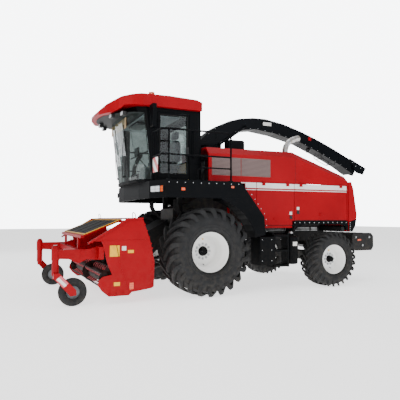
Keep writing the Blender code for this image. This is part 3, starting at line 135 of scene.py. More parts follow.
def block(low, high, edge):
    """A rectangular plate between two corners, with its edges rounded over."""
    (x0, y0, z0), (x1, y1, z1) = low, high
    edge = min(edge, abs(x1 - x0) / 3, abs(y1 - y0) / 3)
    corner = edge * 0.8
    outline = [(x0 + corner, y0), (x1 - corner, y0), (x1, y0 + corner), (x1, y1 - corner),
               (x1 - corner, y1), (x0 + corner, y1), (x0, y1 - corner), (x0, y0 + corner)]
    return plate(outline, "z", z0, z1, edge)


def lathe(profile, centre_at, axis, steps, loop=True):
    """A profile of (along, radius) turned round an axis: ring k is the profile at angle 2 pi k / steps."""
    profile = np.asarray(profile, float)
    angle = np.arange(steps) * 2 * math.pi / steps
    along = np.broadcast_to(profile[:, 0], (steps, len(profile)))
    across, up = (np.outer(f(angle), profile[:, 1]) for f in (np.cos, np.sin))
    order = {"x": (along, across, up), "y": (across, along, up), "z": (across, up, along)}[axis]
    rings = np.stack(order, -1) + np.asarray(centre_at, float)
    if loop:
        return skin(rings, loop=True)
    return skin(rings.transpose(1, 0, 2))


def disc(centre_at, axis, radius, low, high, steps=20, edge=0.003):
    """A turned button from low to high along its axis, with one rounded edge at each end."""
    edge = min(edge, abs(high - low) / 2.5, radius / 3)
    profile = [(low, radius - edge), (low + edge, radius), (high - edge, radius), (high, radius - edge)]
    return lathe(profile, centre_at, axis, steps, loop=False)


def curve(path, steps):
    """A smooth path through points: the Catmull-Rom cubic, steps places to each span, as one array."""
    path = np.asarray(path, float)
    p = np.concatenate([[2 * path[0] - path[1]], path, [2 * path[-1] - path[-2]]])
    t = (np.arange(steps) / steps)[None, :, None]
    a, b, c, d = (p[k:len(p) - 3 + k, None, :] for k in range(4))
    spans = 0.5 * (2 * b + (c - a) * t + (2 * a - 5 * b + 4 * c - d) * t ** 2 + (3 * b - a - 3 * c + d) * t ** 3)
    return np.concatenate([spans.reshape(-1, path.shape[1]), path[-1:]])


def pipe(path, radius, sides, steps):
    """A round section carried along a smooth path; its frame is the tangent and the flattest direction."""
    line = curve(path, steps) if steps else np.asarray(path, float)
    tangent = np.gradient(line, axis=0)
    tangent /= np.linalg.norm(tangent, axis=1, keepdims=True)
    spread_axis = np.linalg.eigh(tangent.T @ tangent)[1][:, 0]
    u = np.cross(tangent, spread_axis)
    u /= np.linalg.norm(u, axis=1, keepdims=True)
    v = np.cross(tangent, u)
    angle = np.arange(sides) * 2 * math.pi / sides
    radius = np.broadcast_to(np.asarray(radius, float), (len(line),))[:, None, None]
    ring = u[:, None, :] * np.cos(angle)[None, :, None] + v[:, None, :] * np.sin(angle)[None, :, None]
    return skin(line[:, None, :] + ring * radius)


def strip(path, across, width, thick, steps):
    """A flat bar carried along a smooth path: a rectangle as wide as width along the given direction."""
    line = curve(path, steps)
    tangent = np.gradient(line, axis=0)
    tangent /= np.linalg.norm(tangent, axis=1, keepdims=True)
    side = np.asarray(across, float) / np.linalg.norm(across)
    up = np.cross(tangent, side)
    up /= np.linalg.norm(up, axis=1, keepdims=True)
    corners = [(-1, 0), (1, 0), (1, 1), (-1, 1)]
    rings = np.stack([line + side * (a * width / 2) + up * (b * thick) for a, b in corners], 1)
    return skin(rings)


def spread(part, places, turns=None):
    """Copies of one part: its points, turned by each matrix, then moved to each place."""
    points, faces = np.asarray(part[0], float), part[1]
    places = np.asarray(places, float).reshape(-1, 3)
    turned = np.broadcast_to(points, (len(places), *points.shape)) if turns is None else \
        np.einsum("kij,nj->kni", np.asarray(turns), points)
    moved = turned + places[:, None, :]
    size = len(points)
    return moved.reshape(-1, 3), [tuple(i + k * size for i in face) for k in range(len(places)) for face in faces]


def turn_about(axis, angles):
    """Rotation matrices about a machine axis, one for each angle."""
    angles = np.atleast_1d(angles)
    c, s, one, nil = np.cos(angles), np.sin(angles), np.ones_like(angles), np.zeros_like(angles)
    rows = {"x": [[one, nil, nil], [nil, c, -s], [nil, s, c]],
            "y": [[c, nil, s], [nil, one, nil], [-s, nil, c]],
            "z": [[c, -s, nil], [s, c, nil], [nil, nil, one]]}[axis]
    return np.moveaxis(np.array(rows), -1, 0)


def mirrored(part):
    """The same part on the other side of the machine."""
    return np.asarray(part[0]) * (-1, 1, 1), part[1]


def both(parts):
    """Parts and their mirror images."""
    return list(parts) + [mirrored(p) for p in parts]


def bolt(axis, radius, height):
    """A hexagon bolt head on its washer, standing along an axis from the origin."""
    washer = disc((0, 0, 0), axis, radius * 1.35, -0.0005, height * 0.35, 14, 0.001)
    head = disc((0, 0, 0), axis, radius, height * 0.3, height, 6, 0.0015)
    return washer, head


def bolts(axis, places, radius, height):
    """Bolt heads at many places."""
    return [spread(piece, places) for piece in bolt(axis, radius, height)]


def on_side(parts, side):
    """Parts made for the left side, or their mirror images when side is -1."""
    return list(parts) if side > 0 else [mirrored(p) for p in parts]


def evenly(start, end, count):
    """Evenly spaced points from start to end."""
    return np.linspace(np.asarray(start, float), np.asarray(end, float), count)


# ---------------------------------------------------------------- materials
def linear(value):
    """An sRGB hex colour as a linear one."""
    parts = [int(value[i:i + 2], 16) / 255 for i in (1, 3, 5)]
    return tuple(p / 12.92 if p <= 0.04045 else ((p + 0.055) / 1.055) ** 2.4 for p in parts) + (1.0,)


def add(tree, kind, inputs=None, **settings):
    """Add one node: settings are its own choices, inputs are values or sockets for its inputs."""
    made = tree.nodes.new(kind)
    for key, value in settings.items():
        setattr(made, key, value)
    for key, value in (inputs or {}).items():
        if isinstance(value, bpy.types.NodeSocket):
            tree.links.new(value, made.inputs[key])
        else:
            made.inputs[key].default_value = value
    return made


def material(name):
    """A new material with its node tree, its surface shader and the object's own coordinates."""
    made = bpy.data.materials.new(name)
    made.use_nodes = True
    tree = made.node_tree
    shader = tree.nodes["Principled BSDF"]
    return made, tree, shader, add(tree, "ShaderNodeTexCoord").outputs["Object"]


def ramp(tree, factor, stops):
    """Colours along a factor, from (place, colour) stops."""
    made = add(tree, "ShaderNodeValToRGB", {"Fac": factor})
    points = made.color_ramp.elements
    points[0].position, points[0].color = stops[0]
    points[1].position, points[1].color = stops[-1]
    for place, colour in stops[1:-1]:
        points.new(place).color = colour
    return made.outputs["Color"]


def shade(colour, factor):
    """A colour made darker or lighter."""
    return tuple(min(1.0, c * factor) for c in colour[:3]) + (1.0,)


def dusted(tree, place, colour, dust, height, amount):
    """The colour with dry dust settled on it: more of it towards the ground, broken up by clouds 80 mm wide."""
    z = add(tree, "ShaderNodeSeparateXYZ", {"Vector": place}).outputs["Z"]
    low = add(tree, "ShaderNodeMapRange", {"Value": z, "From Min": 0.0, "From Max": height, "To Min": 1.0,
                                           "To Max": 0.12}).outputs["Result"]
    cloud = add(tree, "ShaderNodeTexNoise", {"Vector": place, "Scale": 12.0, "Detail": 6.0,
                                             "Roughness": 0.65}).outputs["Fac"]
    share = add(tree, "ShaderNodeMapRange", {"Value": cloud, "From Min": 0.42, "From Max": 0.72, "To Min": 0.0,
                                             "To Max": amount}).outputs["Result"]
    factor = add(tree, "ShaderNodeMath", {0: low, 1: share}, operation="MULTIPLY").outputs[0]
    mixed = add(tree, "ShaderNodeMix", {0: factor, 6: colour, 7: dust}, data_type="RGBA")
    return mixed.outputs[2], factor


def bumped(tree, height, distance, strength, normal=None):
    """A normal from a height pattern whose full depth is distance metres."""
    inputs = {"Height": height, "Distance": distance, "Strength": strength}
    if normal is not None:
        inputs["Normal"] = normal
    return add(tree, "ShaderNodeBump", inputs).outputs["Normal"]


def enamel(name, colour, rough, coat, dust_height=1.2, dust=0.5, peel=0.0004, specular=0.3):
    """Stoved enamel on sheet steel, sprayed: even colour with slight fading over 0.6 m, a clear gloss
    with orange peel about 5 mm across, and field dust that dulls it near the ground."""
    made, tree, shader, place = material(name)
    fade = add(tree, "ShaderNodeTexNoise", {"Vector": place, "Scale": 1.7, "Detail": 3.0}).outputs["Fac"]
    paint = ramp(tree, fade, [(0.3, shade(colour, 0.88)), (0.7, shade(colour, 1.06))])
    paint, factor = dusted(tree, place, paint, linear("#8C7B66"), dust_height, dust)
    tree.links.new(paint, shader.inputs["Base Color"])
    skin_noise = add(tree, "ShaderNodeTexNoise", {"Vector": place, "Scale": 190.0, "Detail": 2.0}).outputs["Fac"]
    wave = add(tree, "ShaderNodeTexNoise", {"Vector": place, "Scale": 5.0, "Detail": 1.0}).outputs["Fac"]
    first = bumped(tree, wave, 0.004, 0.25)
    tree.links.new(bumped(tree, skin_noise, peel, 0.3, first), shader.inputs["Normal"])
    dull = add(tree, "ShaderNodeMapRange", {"Value": factor, "From Min": 0.0, "From Max": 0.5, "To Min": rough,
                                            "To Max": 0.8}).outputs["Result"]
    tree.links.new(dull, shader.inputs["Roughness"])
    shader.inputs["IOR"].default_value = 1.5
    shader.inputs["Specular IOR Level"].default_value = specular
    shader.inputs["Coat Weight"].default_value = coat
    shader.inputs["Coat Roughness"].default_value = 0.08
    return made


def rubber(name, colour, grain_mm=4.0, dust=0.75, height=1.4):
    """Moulded tyre rubber: near-black and matt, with a fine pebbled grain and pale soil left in the low places."""
    made, tree, shader, place = material(name)
    cloud = add(tree, "ShaderNodeTexNoise", {"Vector": place, "Scale": 9.0, "Detail": 5.0}).outputs["Fac"]
    base = ramp(tree, cloud, [(0.35, shade(colour, 0.8)), (0.65, shade(colour, 1.25))])
    base, _ = dusted(tree, place, base, linear("#6E6558"), height, dust)
    tree.links.new(base, shader.inputs["Base Color"])
    grain = add(tree, "ShaderNodeTexVoronoi", {"Vector": place, "Scale": 1000.0 / grain_mm}).outputs["Distance"]
    worn = add(tree, "ShaderNodeTexNoise", {"Vector": place, "Scale": 60.0, "Detail": 4.0}).outputs["Fac"]
    tree.links.new(bumped(tree, grain, 0.0006, 0.35, bumped(tree, worn, 0.0012, 0.4)), shader.inputs["Normal"])
    shader.inputs["Roughness"].default_value = 0.78
    shader.inputs["Specular IOR Level"].default_value = 0.35
    return made


def metal(name, colour, rough, scratch_mm=3.0, tint=None):
    """Bright steel, drawn or plated: fine marks along its length, darker blotches where heat or oil has been."""
    made, tree, shader, place = material(name)
    blotch = add(tree, "ShaderNodeTexNoise", {"Vector": place, "Scale": 14.0, "Detail": 5.0}).outputs["Fac"]
    colours = ramp(tree, blotch, [(0.35, colour), (0.7, tint or shade(colour, 0.7))])
    tree.links.new(colours, shader.inputs["Base Color"])
    stretch = add(tree, "ShaderNodeMapping", {"Vector": place, "Scale": (1.0, 0.08, 1.0)}).outputs["Vector"]
    marks = add(tree, "ShaderNodeTexNoise", {"Vector": stretch, "Scale": 1000.0 / scratch_mm,
                                             "Detail": 3.0}).outputs["Fac"]
    tree.links.new(bumped(tree, marks, 0.0003, 0.3), shader.inputs["Normal"])
    dull = add(tree, "ShaderNodeMapRange", {"Value": blotch, "From Min": 0.3, "From Max": 0.75, "To Min": rough,
                                            "To Max": rough + 0.2}).outputs["Result"]
    tree.links.new(dull, shader.inputs["Roughness"])
    shader.inputs["Metallic"].default_value = 1.0
    return made


def cab_glass():
    """Tinted safety glass: clear with a grey-green cast, polished, with a faint film of dust low down."""
    made, tree, shader, place = material("tinted_safety_glass")
    film = add(tree, "ShaderNodeTexNoise", {"Vector": place, "Scale": 6.0, "Detail": 5.0}).outputs["Fac"]
    tree.links.new(ramp(tree, film, [(0.4, linear("#DDE8E6")), (0.8, linear("#C9D3CF"))]),
                   shader.inputs["Base Color"])
    dull = add(tree, "ShaderNodeMapRange", {"Value": film, "From Min": 0.45, "From Max": 0.8, "To Min": 0.02,
                                            "To Max": 0.09}).outputs["Result"]
    tree.links.new(dull, shader.inputs["Roughness"])
    shader.inputs["Transmission Weight"].default_value = 1.0
    shader.inputs["IOR"].default_value = 1.05
    shader.inputs["Coat Weight"].default_value = 0.6
    return made


def lens(name, colour, glow, ribs_mm=8.0):
    """Moulded lamp lens: coloured acrylic with prism ribs that scatter the light."""
    made, tree, shader, place = material(name)
    ribs = add(tree, "ShaderNodeTexWave", {"Vector": place, "Scale": 1000.0 / ribs_mm / 20, "Distortion": 0.0},
               bands_direction="Z").outputs["Fac"]
    tree.links.new(ramp(tree, ribs, [(0.1, shade(colour, 0.75)), (0.9, colour)]), shader.inputs["Base Color"])
    tree.links.new(bumped(tree, ribs, 0.001, 0.6), shader.inputs["Normal"])
    shader.inputs["Roughness"].default_value = 0.12
    shader.inputs["Coat Weight"].default_value = 0.8
    shader.inputs["Emission Color"].default_value = colour
    shader.inputs["Emission Strength"].default_value = glow
    return made


def plastic(name, colour, rough, grain_mm=3.0):
    """Moulded plastic or soft trim: an even colour with a fine leather-like grain."""
    made, tree, shader, place = material(name)
    cloud = add(tree, "ShaderNodeTexNoise", {"Vector": place, "Scale": 20.0, "Detail": 4.0}).outputs["Fac"]
    tree.links.new(ramp(tree, cloud, [(0.3, shade(colour, 0.85)), (0.7, shade(colour, 1.1))]),
                   shader.inputs["Base Color"])
    grain = add(tree, "ShaderNodeTexVoronoi", {"Vector": place, "Scale": 1000.0 / grain_mm}).outputs["Distance"]
    tree.links.new(bumped(tree, grain, 0.0005, 0.4), shader.inputs["Normal"])
    shader.inputs["Roughness"].default_value = rough
    return made


def woven(name, colour, thread_mm=6.0):
    """Woven seat cloth, its threads drawn 6 mm apart so that they show: two crossed waves, high where one is on top."""
    made, tree, shader, place = material(name)
    heights = [add(tree, "ShaderNodeTexWave", {"Vector": place, "Scale": 1000.0 / thread_mm / 20,
                                               "Distortion": 0.4}, bands_direction=way).outputs["Fac"]
               for way in ("X", "Z")]
    weave = add(tree, "ShaderNodeMath", {0: heights[0], 1: heights[1]}, operation="MULTIPLY").outputs[0]
    tree.links.new(ramp(tree, weave, [(0.1, shade(colour, 0.7)), (0.8, shade(colour, 1.2))]),
                   shader.inputs["Base Color"])
    tree.links.new(bumped(tree, weave, 0.001, 0.7), shader.inputs["Normal"])
    shader.inputs["Roughness"].default_value = 0.9
    shader.inputs["Sheen Weight"].default_value = 0.3
    return made


def mesh_grille(name, colour, pitch_mm=24.0):
    """Punched radiator screen: rows of round holes, drawn 24 mm apart so that they show, dusty brown between them."""
    made, tree, shader, place = material(name)
    holes = add(tree, "ShaderNodeTexVoronoi", {"Vector": place, "Scale": 1000.0 / pitch_mm,
                                               "Randomness": 0.0}).outputs["Distance"]
    tree.links.new(ramp(tree, holes, [(0.3, linear("#2A2021")), (0.42, colour)]), shader.inputs["Base Color"])
    tree.links.new(bumped(tree, holes, 0.003, 0.5), shader.inputs["Normal"])
    shader.inputs["Roughness"].default_value = 0.62
    shader.inputs["Metallic"].default_value = 0.3
    return made


def banded(name, colour, other, pitch_mm):
    """Retro-reflective tape: two colours in slanting bands, with a fine honeycomb under the clear face."""
    made, tree, shader, place = material(name)
    bands = add(tree, "ShaderNodeTexWave", {"Vector": place, "Scale": 1000.0 / pitch_mm * math.pi / 10,
                                            "Distortion": 0.0}, bands_direction="DIAGONAL").outputs["Fac"]
    tree.links.new(ramp(tree, bands, [(0.48, colour), (0.52, other)]), shader.inputs["Base Color"])
    cells = add(tree, "ShaderNodeTexVoronoi", {"Vector": place, "Scale": 250.0}).outputs["Distance"]
    tree.links.new(bumped(tree, cells, 0.0003, 0.3), shader.inputs["Normal"])
    shader.inputs["Roughness"].default_value = 0.3
    shader.inputs["Coat Weight"].default_value = 0.4
    return made


def studio_floor():
    """A matt painted studio floor: almost even, with the faintest cloudiness."""
    made, tree, shader, place = material("studio_floor_paint")
    cloud = add(tree, "ShaderNodeTexNoise", {"Vector": place, "Scale": 0.6, "Detail": 3.0}).outputs["Fac"]
    tree.links.new(ramp(tree, cloud, [(0.3, linear("#F1F1F1")), (0.7, linear("#F5F5F5"))]),
                   shader.inputs["Base Color"])
    shader.inputs["Roughness"].default_value = 0.9
    shader.inputs["Specular IOR Level"].default_value = 0.1
    shader.inputs["Emission Color"].default_value = linear("#F4F4F4")
    shader.inputs["Emission Strength"].default_value = 1.6
    return made


FINISHES = {}


def finish(name):
    """A finish by name, made the first time it is asked for, in the colours set on the scene."""
    if name not in FINISHES:
        looks = bpy.context.scene.harvester_looks
        red, black, white = (tuple(c) + (1.0,) for c in (looks.red, looks.black, looks.white))
        recipes = {
            # sprayed and stoved enamels: even colour, a soft gloss, dust low down
            "red": lambda: enamel("red_stoved_enamel", red, 0.4, 0.05, dust=0.06, specular=0.08),
            "black": lambda: enamel("black_satin_enamel", black, 0.45, 0.02, dust=0.05, specular=0.06),
            "spout": lambda: enamel("blue_black_gloss_enamel", linear("#03060B"), 0.35, 0.02, dust=0.03, specular=0.08),
            "white": lambda: enamel("white_vinyl_stripe", white, 0.35, 0.3, peel=0.0001),
            "rim": lambda: enamel("off_white_wheel_enamel", tuple(looks.rim) + (1.0,), 0.35, 0.4, 0.9, 0.1),
            "frame": lambda: enamel("black_chassis_enamel", linear("#0B0C0F"), 0.55, 0.0, dust=0.25),
            "cast": lambda: enamel("grey_cast_iron_paint", linear("#2B2D2E"), 0.55, 0.1, 2.5, 0.5, 0.0015),
            "yellow": lambda: enamel("yellow_marking_paint", linear("#E8A900"), 0.4, 0.1, dust=0.15),
            "pink": lambda: enamel("red_oxide_tine_paint", linear("#C2555C"), 0.45, 0.1, dust=0.2),
            # moulded rubbers: near black and matt, with soil in the grain; also a near-black sheet of painted shade for
            # the crop guard's opening
            "tyre": lambda: rubber("tyre_rubber", linear("#191A1C"), dust=0.22),
            "rubber": lambda: rubber("hose_rubber", linear("#0C0D0E"), 2.5, 0.15),
            # painted shade: a near-black sheet with this rubber finish stands for the dark opening over the auger, seen
            # through the crop guard
            "opening_shade": lambda: rubber("crop_guard_painted_opening_shade", linear("#0F0F0E"), 7.0, 0.25, 2.5),
            # plated, drawn and worn metals: bright, with fine lengthwise marks
            "steel": lambda: metal("galvanised_steel", linear("#C9CBCC"), 0.28),
            "chrome": lambda: metal("hard_chromed_rod", linear("#E2E2E0"), 0.08, 1.5),
            "pipe": lambda: metal("aluminised_exhaust_steel", linear("#D6D7D9"), 0.3, 3.0, linear("#A79C8D")),
            "worn": lambda: metal("crop_polished_steel", linear("#3A3433"), 0.5, 3.0, linear("#2A1512")),
            "mirror": lambda: metal("silvered_mirror", linear("#DDE3E8"), 0.03),
            # glass and acrylic: clear or coloured, polished
            "glass": cab_glass,
            "amber": lambda: lens("amber_acrylic_lens", linear("#E85A04"), 0.0),
            "clear": lambda: lens("clear_lamp_lens", linear("#E9EEF2"), 0.1),
            "tail": lambda: lens("red_tail_lens", linear("#B50D18"), 0.05),
            "orange": lambda: lens("orange_reflector", linear("#E84E08"), 0.0, 5.0),
            # moulded plastics, vinyl labels and cloth: matt, with a fine grain
            "trim": lambda: plastic("charcoal_moulded_trim", linear("#131518"), 0.55),
            "tan": lambda: plastic("tan_soft_trim", linear("#A98D66"), 0.7),
            "grey": lambda: plastic("grey_moulded_plastic", linear("#6F7478"), 0.5),
            "label": lambda: plastic("blank_white_label", linear("#E8E7E2"), 0.4, 5.0),
            "sun": lambda: plastic("blank_yellow_label", linear("#F0B400"), 0.4, 5.0),
            "screen": lambda: plastic("dark_display_glass", linear("#0D141B"), 0.08, 5.0),
            "cloth": lambda: woven("woven_seat_cloth", linear("#33373D")),
            # patterned sheets: punched steel and retro-reflective tapes
            "grille": lambda: mesh_grille("punched_radiator_screen", linear("#85706D")),
            "hazard": lambda: banded("red_white_marker_tape", linear("#D3232B"), linear("#F1EFEA"), 130.0),
            "reflective": lambda: banded("pink_white_reflective_band", linear("#D8606A"), linear("#EFE9E6"), 60.0),
            "floor": studio_floor,
        }
        FINISHES[name] = recipes[name]()
    return FINISHES[name]


# ---------------------------------------------------------------- what a user may change
class HARVESTER_looks(bpy.types.PropertyGroup):
    """Sizes and colours of the machine's finish."""

    red: FloatVectorProperty(name="Red", description="Enamel of the hood, roof and header", subtype="COLOR",
                             default=linear("#9A0212")[:3], min=0, max=1)
    black: FloatVectorProperty(name="Black", description="Satin enamel of cab, platform and rails", subtype="COLOR",
                               default=linear("#040609")[:3], min=0, max=1)
    rim: FloatVectorProperty(name="Wheels", description="Enamel of the wheel rims", subtype="COLOR",
                             default=linear("#FDFCF8")[:3], min=0, max=1)
    white: FloatVectorProperty(name="Stripe", description="Vinyl stripe along the hood", subtype="COLOR",
                               default=linear("#F0EEEA")[:3], min=0, max=1)
    drive_lugs: IntProperty(name="Drive tyre bars", description="Tread bars on each half of a drive tyre",
                            default=22, min=12, max=30)
    rear_lugs: IntProperty(name="Steer tyre bars", description="Tread bars on each half of a steered tyre",
                           default=26, min=12, max=36)
    bolt: FloatProperty(name="Bolt head", description="Radius of a panel bolt's head", unit="LENGTH",
                        default=0.011, min=0.005, max=0.02)
    stripe: FloatProperty(name="Stripe height", description="Height of the hood's white stripe at its front",
                          unit="LENGTH", default=0.105, min=0.02, max=0.2)
    tine: FloatProperty(name="Tine radius", description="Radius of a pick-up tine's wire", unit="LENGTH",
                        default=0.004, min=0.002, max=0.008)


def looks():
    """The scene's settings."""
    return bpy.context.scene.harvester_looks


# ---------------------------------------------------------------- wheels
def half_sizes(node):
    """A wheel node's half width and its radius."""
    low, high = box(node)
    return (high - low)[[0, 2]] / 2


def stud_places(count, radius, at):
    """Places round a circle about the X axis: count of them, radius out from at."""
    angle = np.arange(count) * 2 * math.pi / count
    return np.stack([np.zeros(count), radius * np.cos(angle), radius * np.sin(angle)], 1) + at


def tread_bars(radius, half_width, bead, count, height, bar, sweep):
    """Tread bars on one half of a tyre, as a (bars, stations, 4, 3) array of sections.

    Along a bar t runs 0 to 1 from the tyre's middle to its sidewall. The section's two feet lie on the
    carcass and its two heads on the tread's crown, and the bar leads round the wheel by sweep * t ** 0.85.
    """
    t = np.linspace(0, 1, 9)
    foot_x = half_width * np.interp(t, [0, 0.75, 0.9, 1], [0.03, 0.86, 0.95, 0.985])
    head_x = half_width * np.interp(t, [0, 0.75, 0.9, 1], [0.03, 0.88, 0.965, 0.995])
    depth = radius - bead
    foot_r = radius - height - depth * np.interp(t, [0, 0.5, 0.75, 0.9, 1], [0.02, 0.035, 0.09, 0.2, 0.36])
    head_r = radius - depth * np.interp(t, [0, 0.5, 0.75, 0.9, 1], [0.0, 0.008, 0.035, 0.16, 0.40])
    lead = sweep * t ** 0.85
    turn = np.arange(count) * 2 * math.pi / count
    x = np.stack([foot_x, head_x, head_x, foot_x], 1)
    r = np.stack([foot_r, head_r, head_r, foot_r], 1)
    off = np.array([-0.62, -0.42, 0.42, 0.62]) * bar / radius
    angle = turn[:, None, None] + lead[None, :, None] + off[None, None, :]
    return np.stack([np.broadcast_to(x, angle.shape), r * np.sin(angle), r * np.cos(angle)], -1)


def tyre(node, body, name, count, height, bar, sweep):
    """A tyre in a frame tyre's place: a turned carcass with sidewall ribs, and two rows of tread bars.

    height is how far a bar stands off the carcass, bar its width, and sweep how far, in radians, it leads round.
    """
    at = centre(node)
    half, radius = half_sizes(node)
    rim_half, rim_radius = half_sizes(node.replace("tyre", "rim"))
    bead, seat = rim_radius + 0.0008, rim_half * 0.96
    depth = radius - bead
    share = np.array([(0, 0.94 - height / depth), (0.35, 0.93 - height / depth), (0.62, 0.90 - height / depth),
                      (0.80, 0.84 - height / depth), (0.90, 0.74 - height / depth), (0.955, 0.58), (0.985, 0.47),
                      (0.995, 0.36), (0.985, 0.31), (1.0, 0.29), (0.98, 0.27), (0.965, 0.20), (0.975, 0.18),
                      (0.955, 0.16), (0.90, 0.08)])
    outer = np.column_stack([share[:, 0] * half, bead + share[:, 1] * depth])
    edge = np.array([(seat + 0.01, bead + 0.035), (seat + 0.004, bead), (seat - 0.04, bead)])
    side = np.concatenate([outer, edge])
    profile = np.concatenate([side, side[::-1] * (-1, 1)])
    parts = [lathe(profile, at, "x", 72)]
    bars = tread_bars(radius, half, bead, count, height, bar, sweep)
    for flip, shift in ((1, 0.0), (-1, math.pi / count)):
        turned = np.einsum("ij,ksnj->ksni", turn_about("x", -shift)[0], bars)
        for one in turned * (flip, 1, 1) + at:
            parts.append(skin(one))
    made = build(name, body, parts, "tyre", 28)
    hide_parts(node)


def rim(node, body, name, side, dish, cap_radius, stud_circle, studs):
    """A pressed wheel in a frame rim's place: flange, stepped well, coned disc, studs, hub and cap."""
    at = centre(node)
    half, radius = half_sizes(node) - (0, 0.0002)
    face = half - dish
    inner_r = radius - 0.075
    outer = [(half - 0.004, radius - 0.012), (half, radius - 0.004), (half - 0.010, radius),
             (half - 0.026, radius - 0.006), (half - 0.045, radius - 0.020),
             (half - 0.075, radius - 0.026), (half - 0.105, radius - 0.050),
             (half - 0.16, inner_r + 0.006), (-half + 0.16, inner_r + 0.006), (-half + 0.105, radius - 0.050),
             (-half + 0.045, radius - 0.020), (-half + 0.010, radius), (-half, radius - 0.008)]
    back = [(-half + 0.012, radius - 0.024), (-half + 0.05, radius - 0.034), (-half + 0.115, radius - 0.062),
            (-half + 0.165, inner_r - 0.008), (face - 0.02, inner_r - 0.008), (face - 0.03, inner_r - 0.03),
            (face - 0.016, stud_circle * 1.25), (face - 0.012, stud_circle * 0.55), (face - 0.012, 0.02)]
    front = [(face, 0.02), (face, stud_circle * 0.62), (face - 0.001, stud_circle * 1.2),
             (face - 0.014, inner_r - 0.035), (face - 0.005, inner_r - 0.014), (face + 0.008, inner_r - 0.008),
             (half - 0.165, inner_r - 0.007), (half - 0.110, radius - 0.062), (half - 0.080, radius - 0.038),
             (half - 0.050, radius - 0.032), (half - 0.020, radius - 0.020)]
    flip = np.array((side, 1))
    disc_part = lathe(np.array(outer + back + front) * flip, at, "x", 72)
    weld = lathe(np.array([(face + 0.003, inner_r - 0.02), (face + 0.013, inner_r - 0.012),
                           (face + 0.004, inner_r - 0.004)]) * flip, at, "x", 72)
    made = build(name, body, [disc_part, weld], "rim", 30)
    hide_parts(node)
    places = stud_places(studs, stud_circle, at + (side * face, 0, 0))
    nuts = [spread(piece, places) for piece in on_side(bolts("x", (0, 0, 0), 0.017, 0.026), side)]
    build(name + "_nuts", body, nuts, "steel")
    hub = [(face - 0.005, cap_radius * 1.25), (face + 0.02, cap_radius * 1.2), (face + 0.035, cap_radius),
           (face + 0.075, cap_radius * 0.94), (face + 0.09, cap_radius * 0.8), (face + 0.092, 0.012)]
    build(name + "_hub", body, [lathe(np.array(hub) * flip, at, "x", 40, loop=False)], "black")
    valve = pipe([at + (side * (face + 0.005), 0, -inner_r + 0.05), at + (side * (face + 0.06), 0, -inner_r + 0.035)],
                 0.006, 8, 2)
    build(name + "_valve", body, [valve], "rubber")
    mark_low, mark_high = sorted((0, side * 0.004))
    dot = disc(at + (side * (face + 0.001), 0.0, inner_r * 0.78), "x", 0.016, mark_low, mark_high)
    build(name + "_mark", body, [dot], "sun")


class HARVESTER_OT_drive_wheels(bpy.types.Operator):
    """Make the driven wheels: barred tyres and their pressed rims"""

    bl_idname = "harvester.drive_wheels"
    bl_label = "Drive wheels"

    def execute(self, context):
        for side, word in SIDES:
            body = f"front_wheel_{word}"
            tyre(f"front_{word}_tyre", body, f"drive_tyre_{word}", looks().drive_lugs, height=0.034, bar=0.074,
                 sweep=0.40)
            rim(f"front_{word}_rim", body, f"drive_rim_{word}", side, dish=0.35, cap_radius=0.072, stud_circle=0.135,
                studs=12)
        return {"FINISHED"}


class HARVESTER_OT_rear_wheels(bpy.types.Operator):
    """Make the steered wheels: block tyres and their pressed rims"""

    bl_idname = "harvester.rear_wheels"
    bl_label = "Steered wheels"

    def execute(self, context):
        for side, word in SIDES:
            body = f"rear_wheel_{word}"
            tyre(f"rear_{word}_tyre", body, f"steer_tyre_{word}", looks().rear_lugs, height=0.022, bar=0.044,
                 sweep=0.38)
            rim(f"rear_{word}_rim", body, f"steer_rim_{word}", side, dish=0.165, cap_radius=0.058, stud_circle=0.110,
                studs=10)
        return {"FINISHED"}


class HARVESTER_OT_gauge_wheels(bpy.types.Operator):
    """Make the header's gauge wheels: ribbed tyres on grey discs, with their nuts"""

    bl_idname = "harvester.gauge_wheels"
    bl_label = "Gauge wheels"

    def execute(self, context):
        for side, word in SIDES:
            body = f"gauge_wheel_{word}"            # its one node has the body's name
            at = centre(body)
            half, radius = 0.074, 0.2245
            ribs = [(0.0, 0.0), (0.014, 0.0), (0.019, 0.011), (0.025, 0.011), (0.030, 0.001), (0.044, 0.004),
                    (0.049, 0.015), (0.054, 0.016), (0.058, 0.009), (0.066, 0.022), (half, 0.050), (half, 0.080),
                    (half - 0.006, 0.086), (half - 0.004, 0.094), (half - 0.014, 0.112), (half - 0.022, 0.118)]
            outer = np.array([(x, radius - drop) for x, drop in ribs])
            bore = np.array([(half - 0.03, radius - 0.122), (0.0, radius - 0.122)])
            right = np.concatenate([outer, bore])
            profile = np.concatenate([right, right[::-1] * (-1, 1)])
            piece = build(f"gauge_tyre_{word}", body, [lathe(profile, at, "x", 56)], "tyre", 28)
            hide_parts(body)
            discs = []
            for face in (1, -1):
                wall = [(0.052, radius - 0.121), (0.044, radius - 0.127), (0.030, radius - 0.135), (0.018, 0.060),
                        (0.030, 0.040), (0.054, 0.036), (0.056, 0.018), (0.004, 0.018), (0.010, 0.066),
                        (0.020, radius - 0.121)]
                discs.append(lathe(np.array(wall) * (face, 1), at, "x", 48))
            places = stud_places(5, 0.05, at + (side * 0.024, 0, 0))
            nuts = [spread(piece, places) for piece in on_side(bolts("x", (0, 0, 0), 0.008, 0.010), side)]
            build(f"gauge_disc_{word}", body, discs, "grey", 28)
            build(f"gauge_nuts_{word}", body, nuts, "steel")
        return {"FINISHED"}


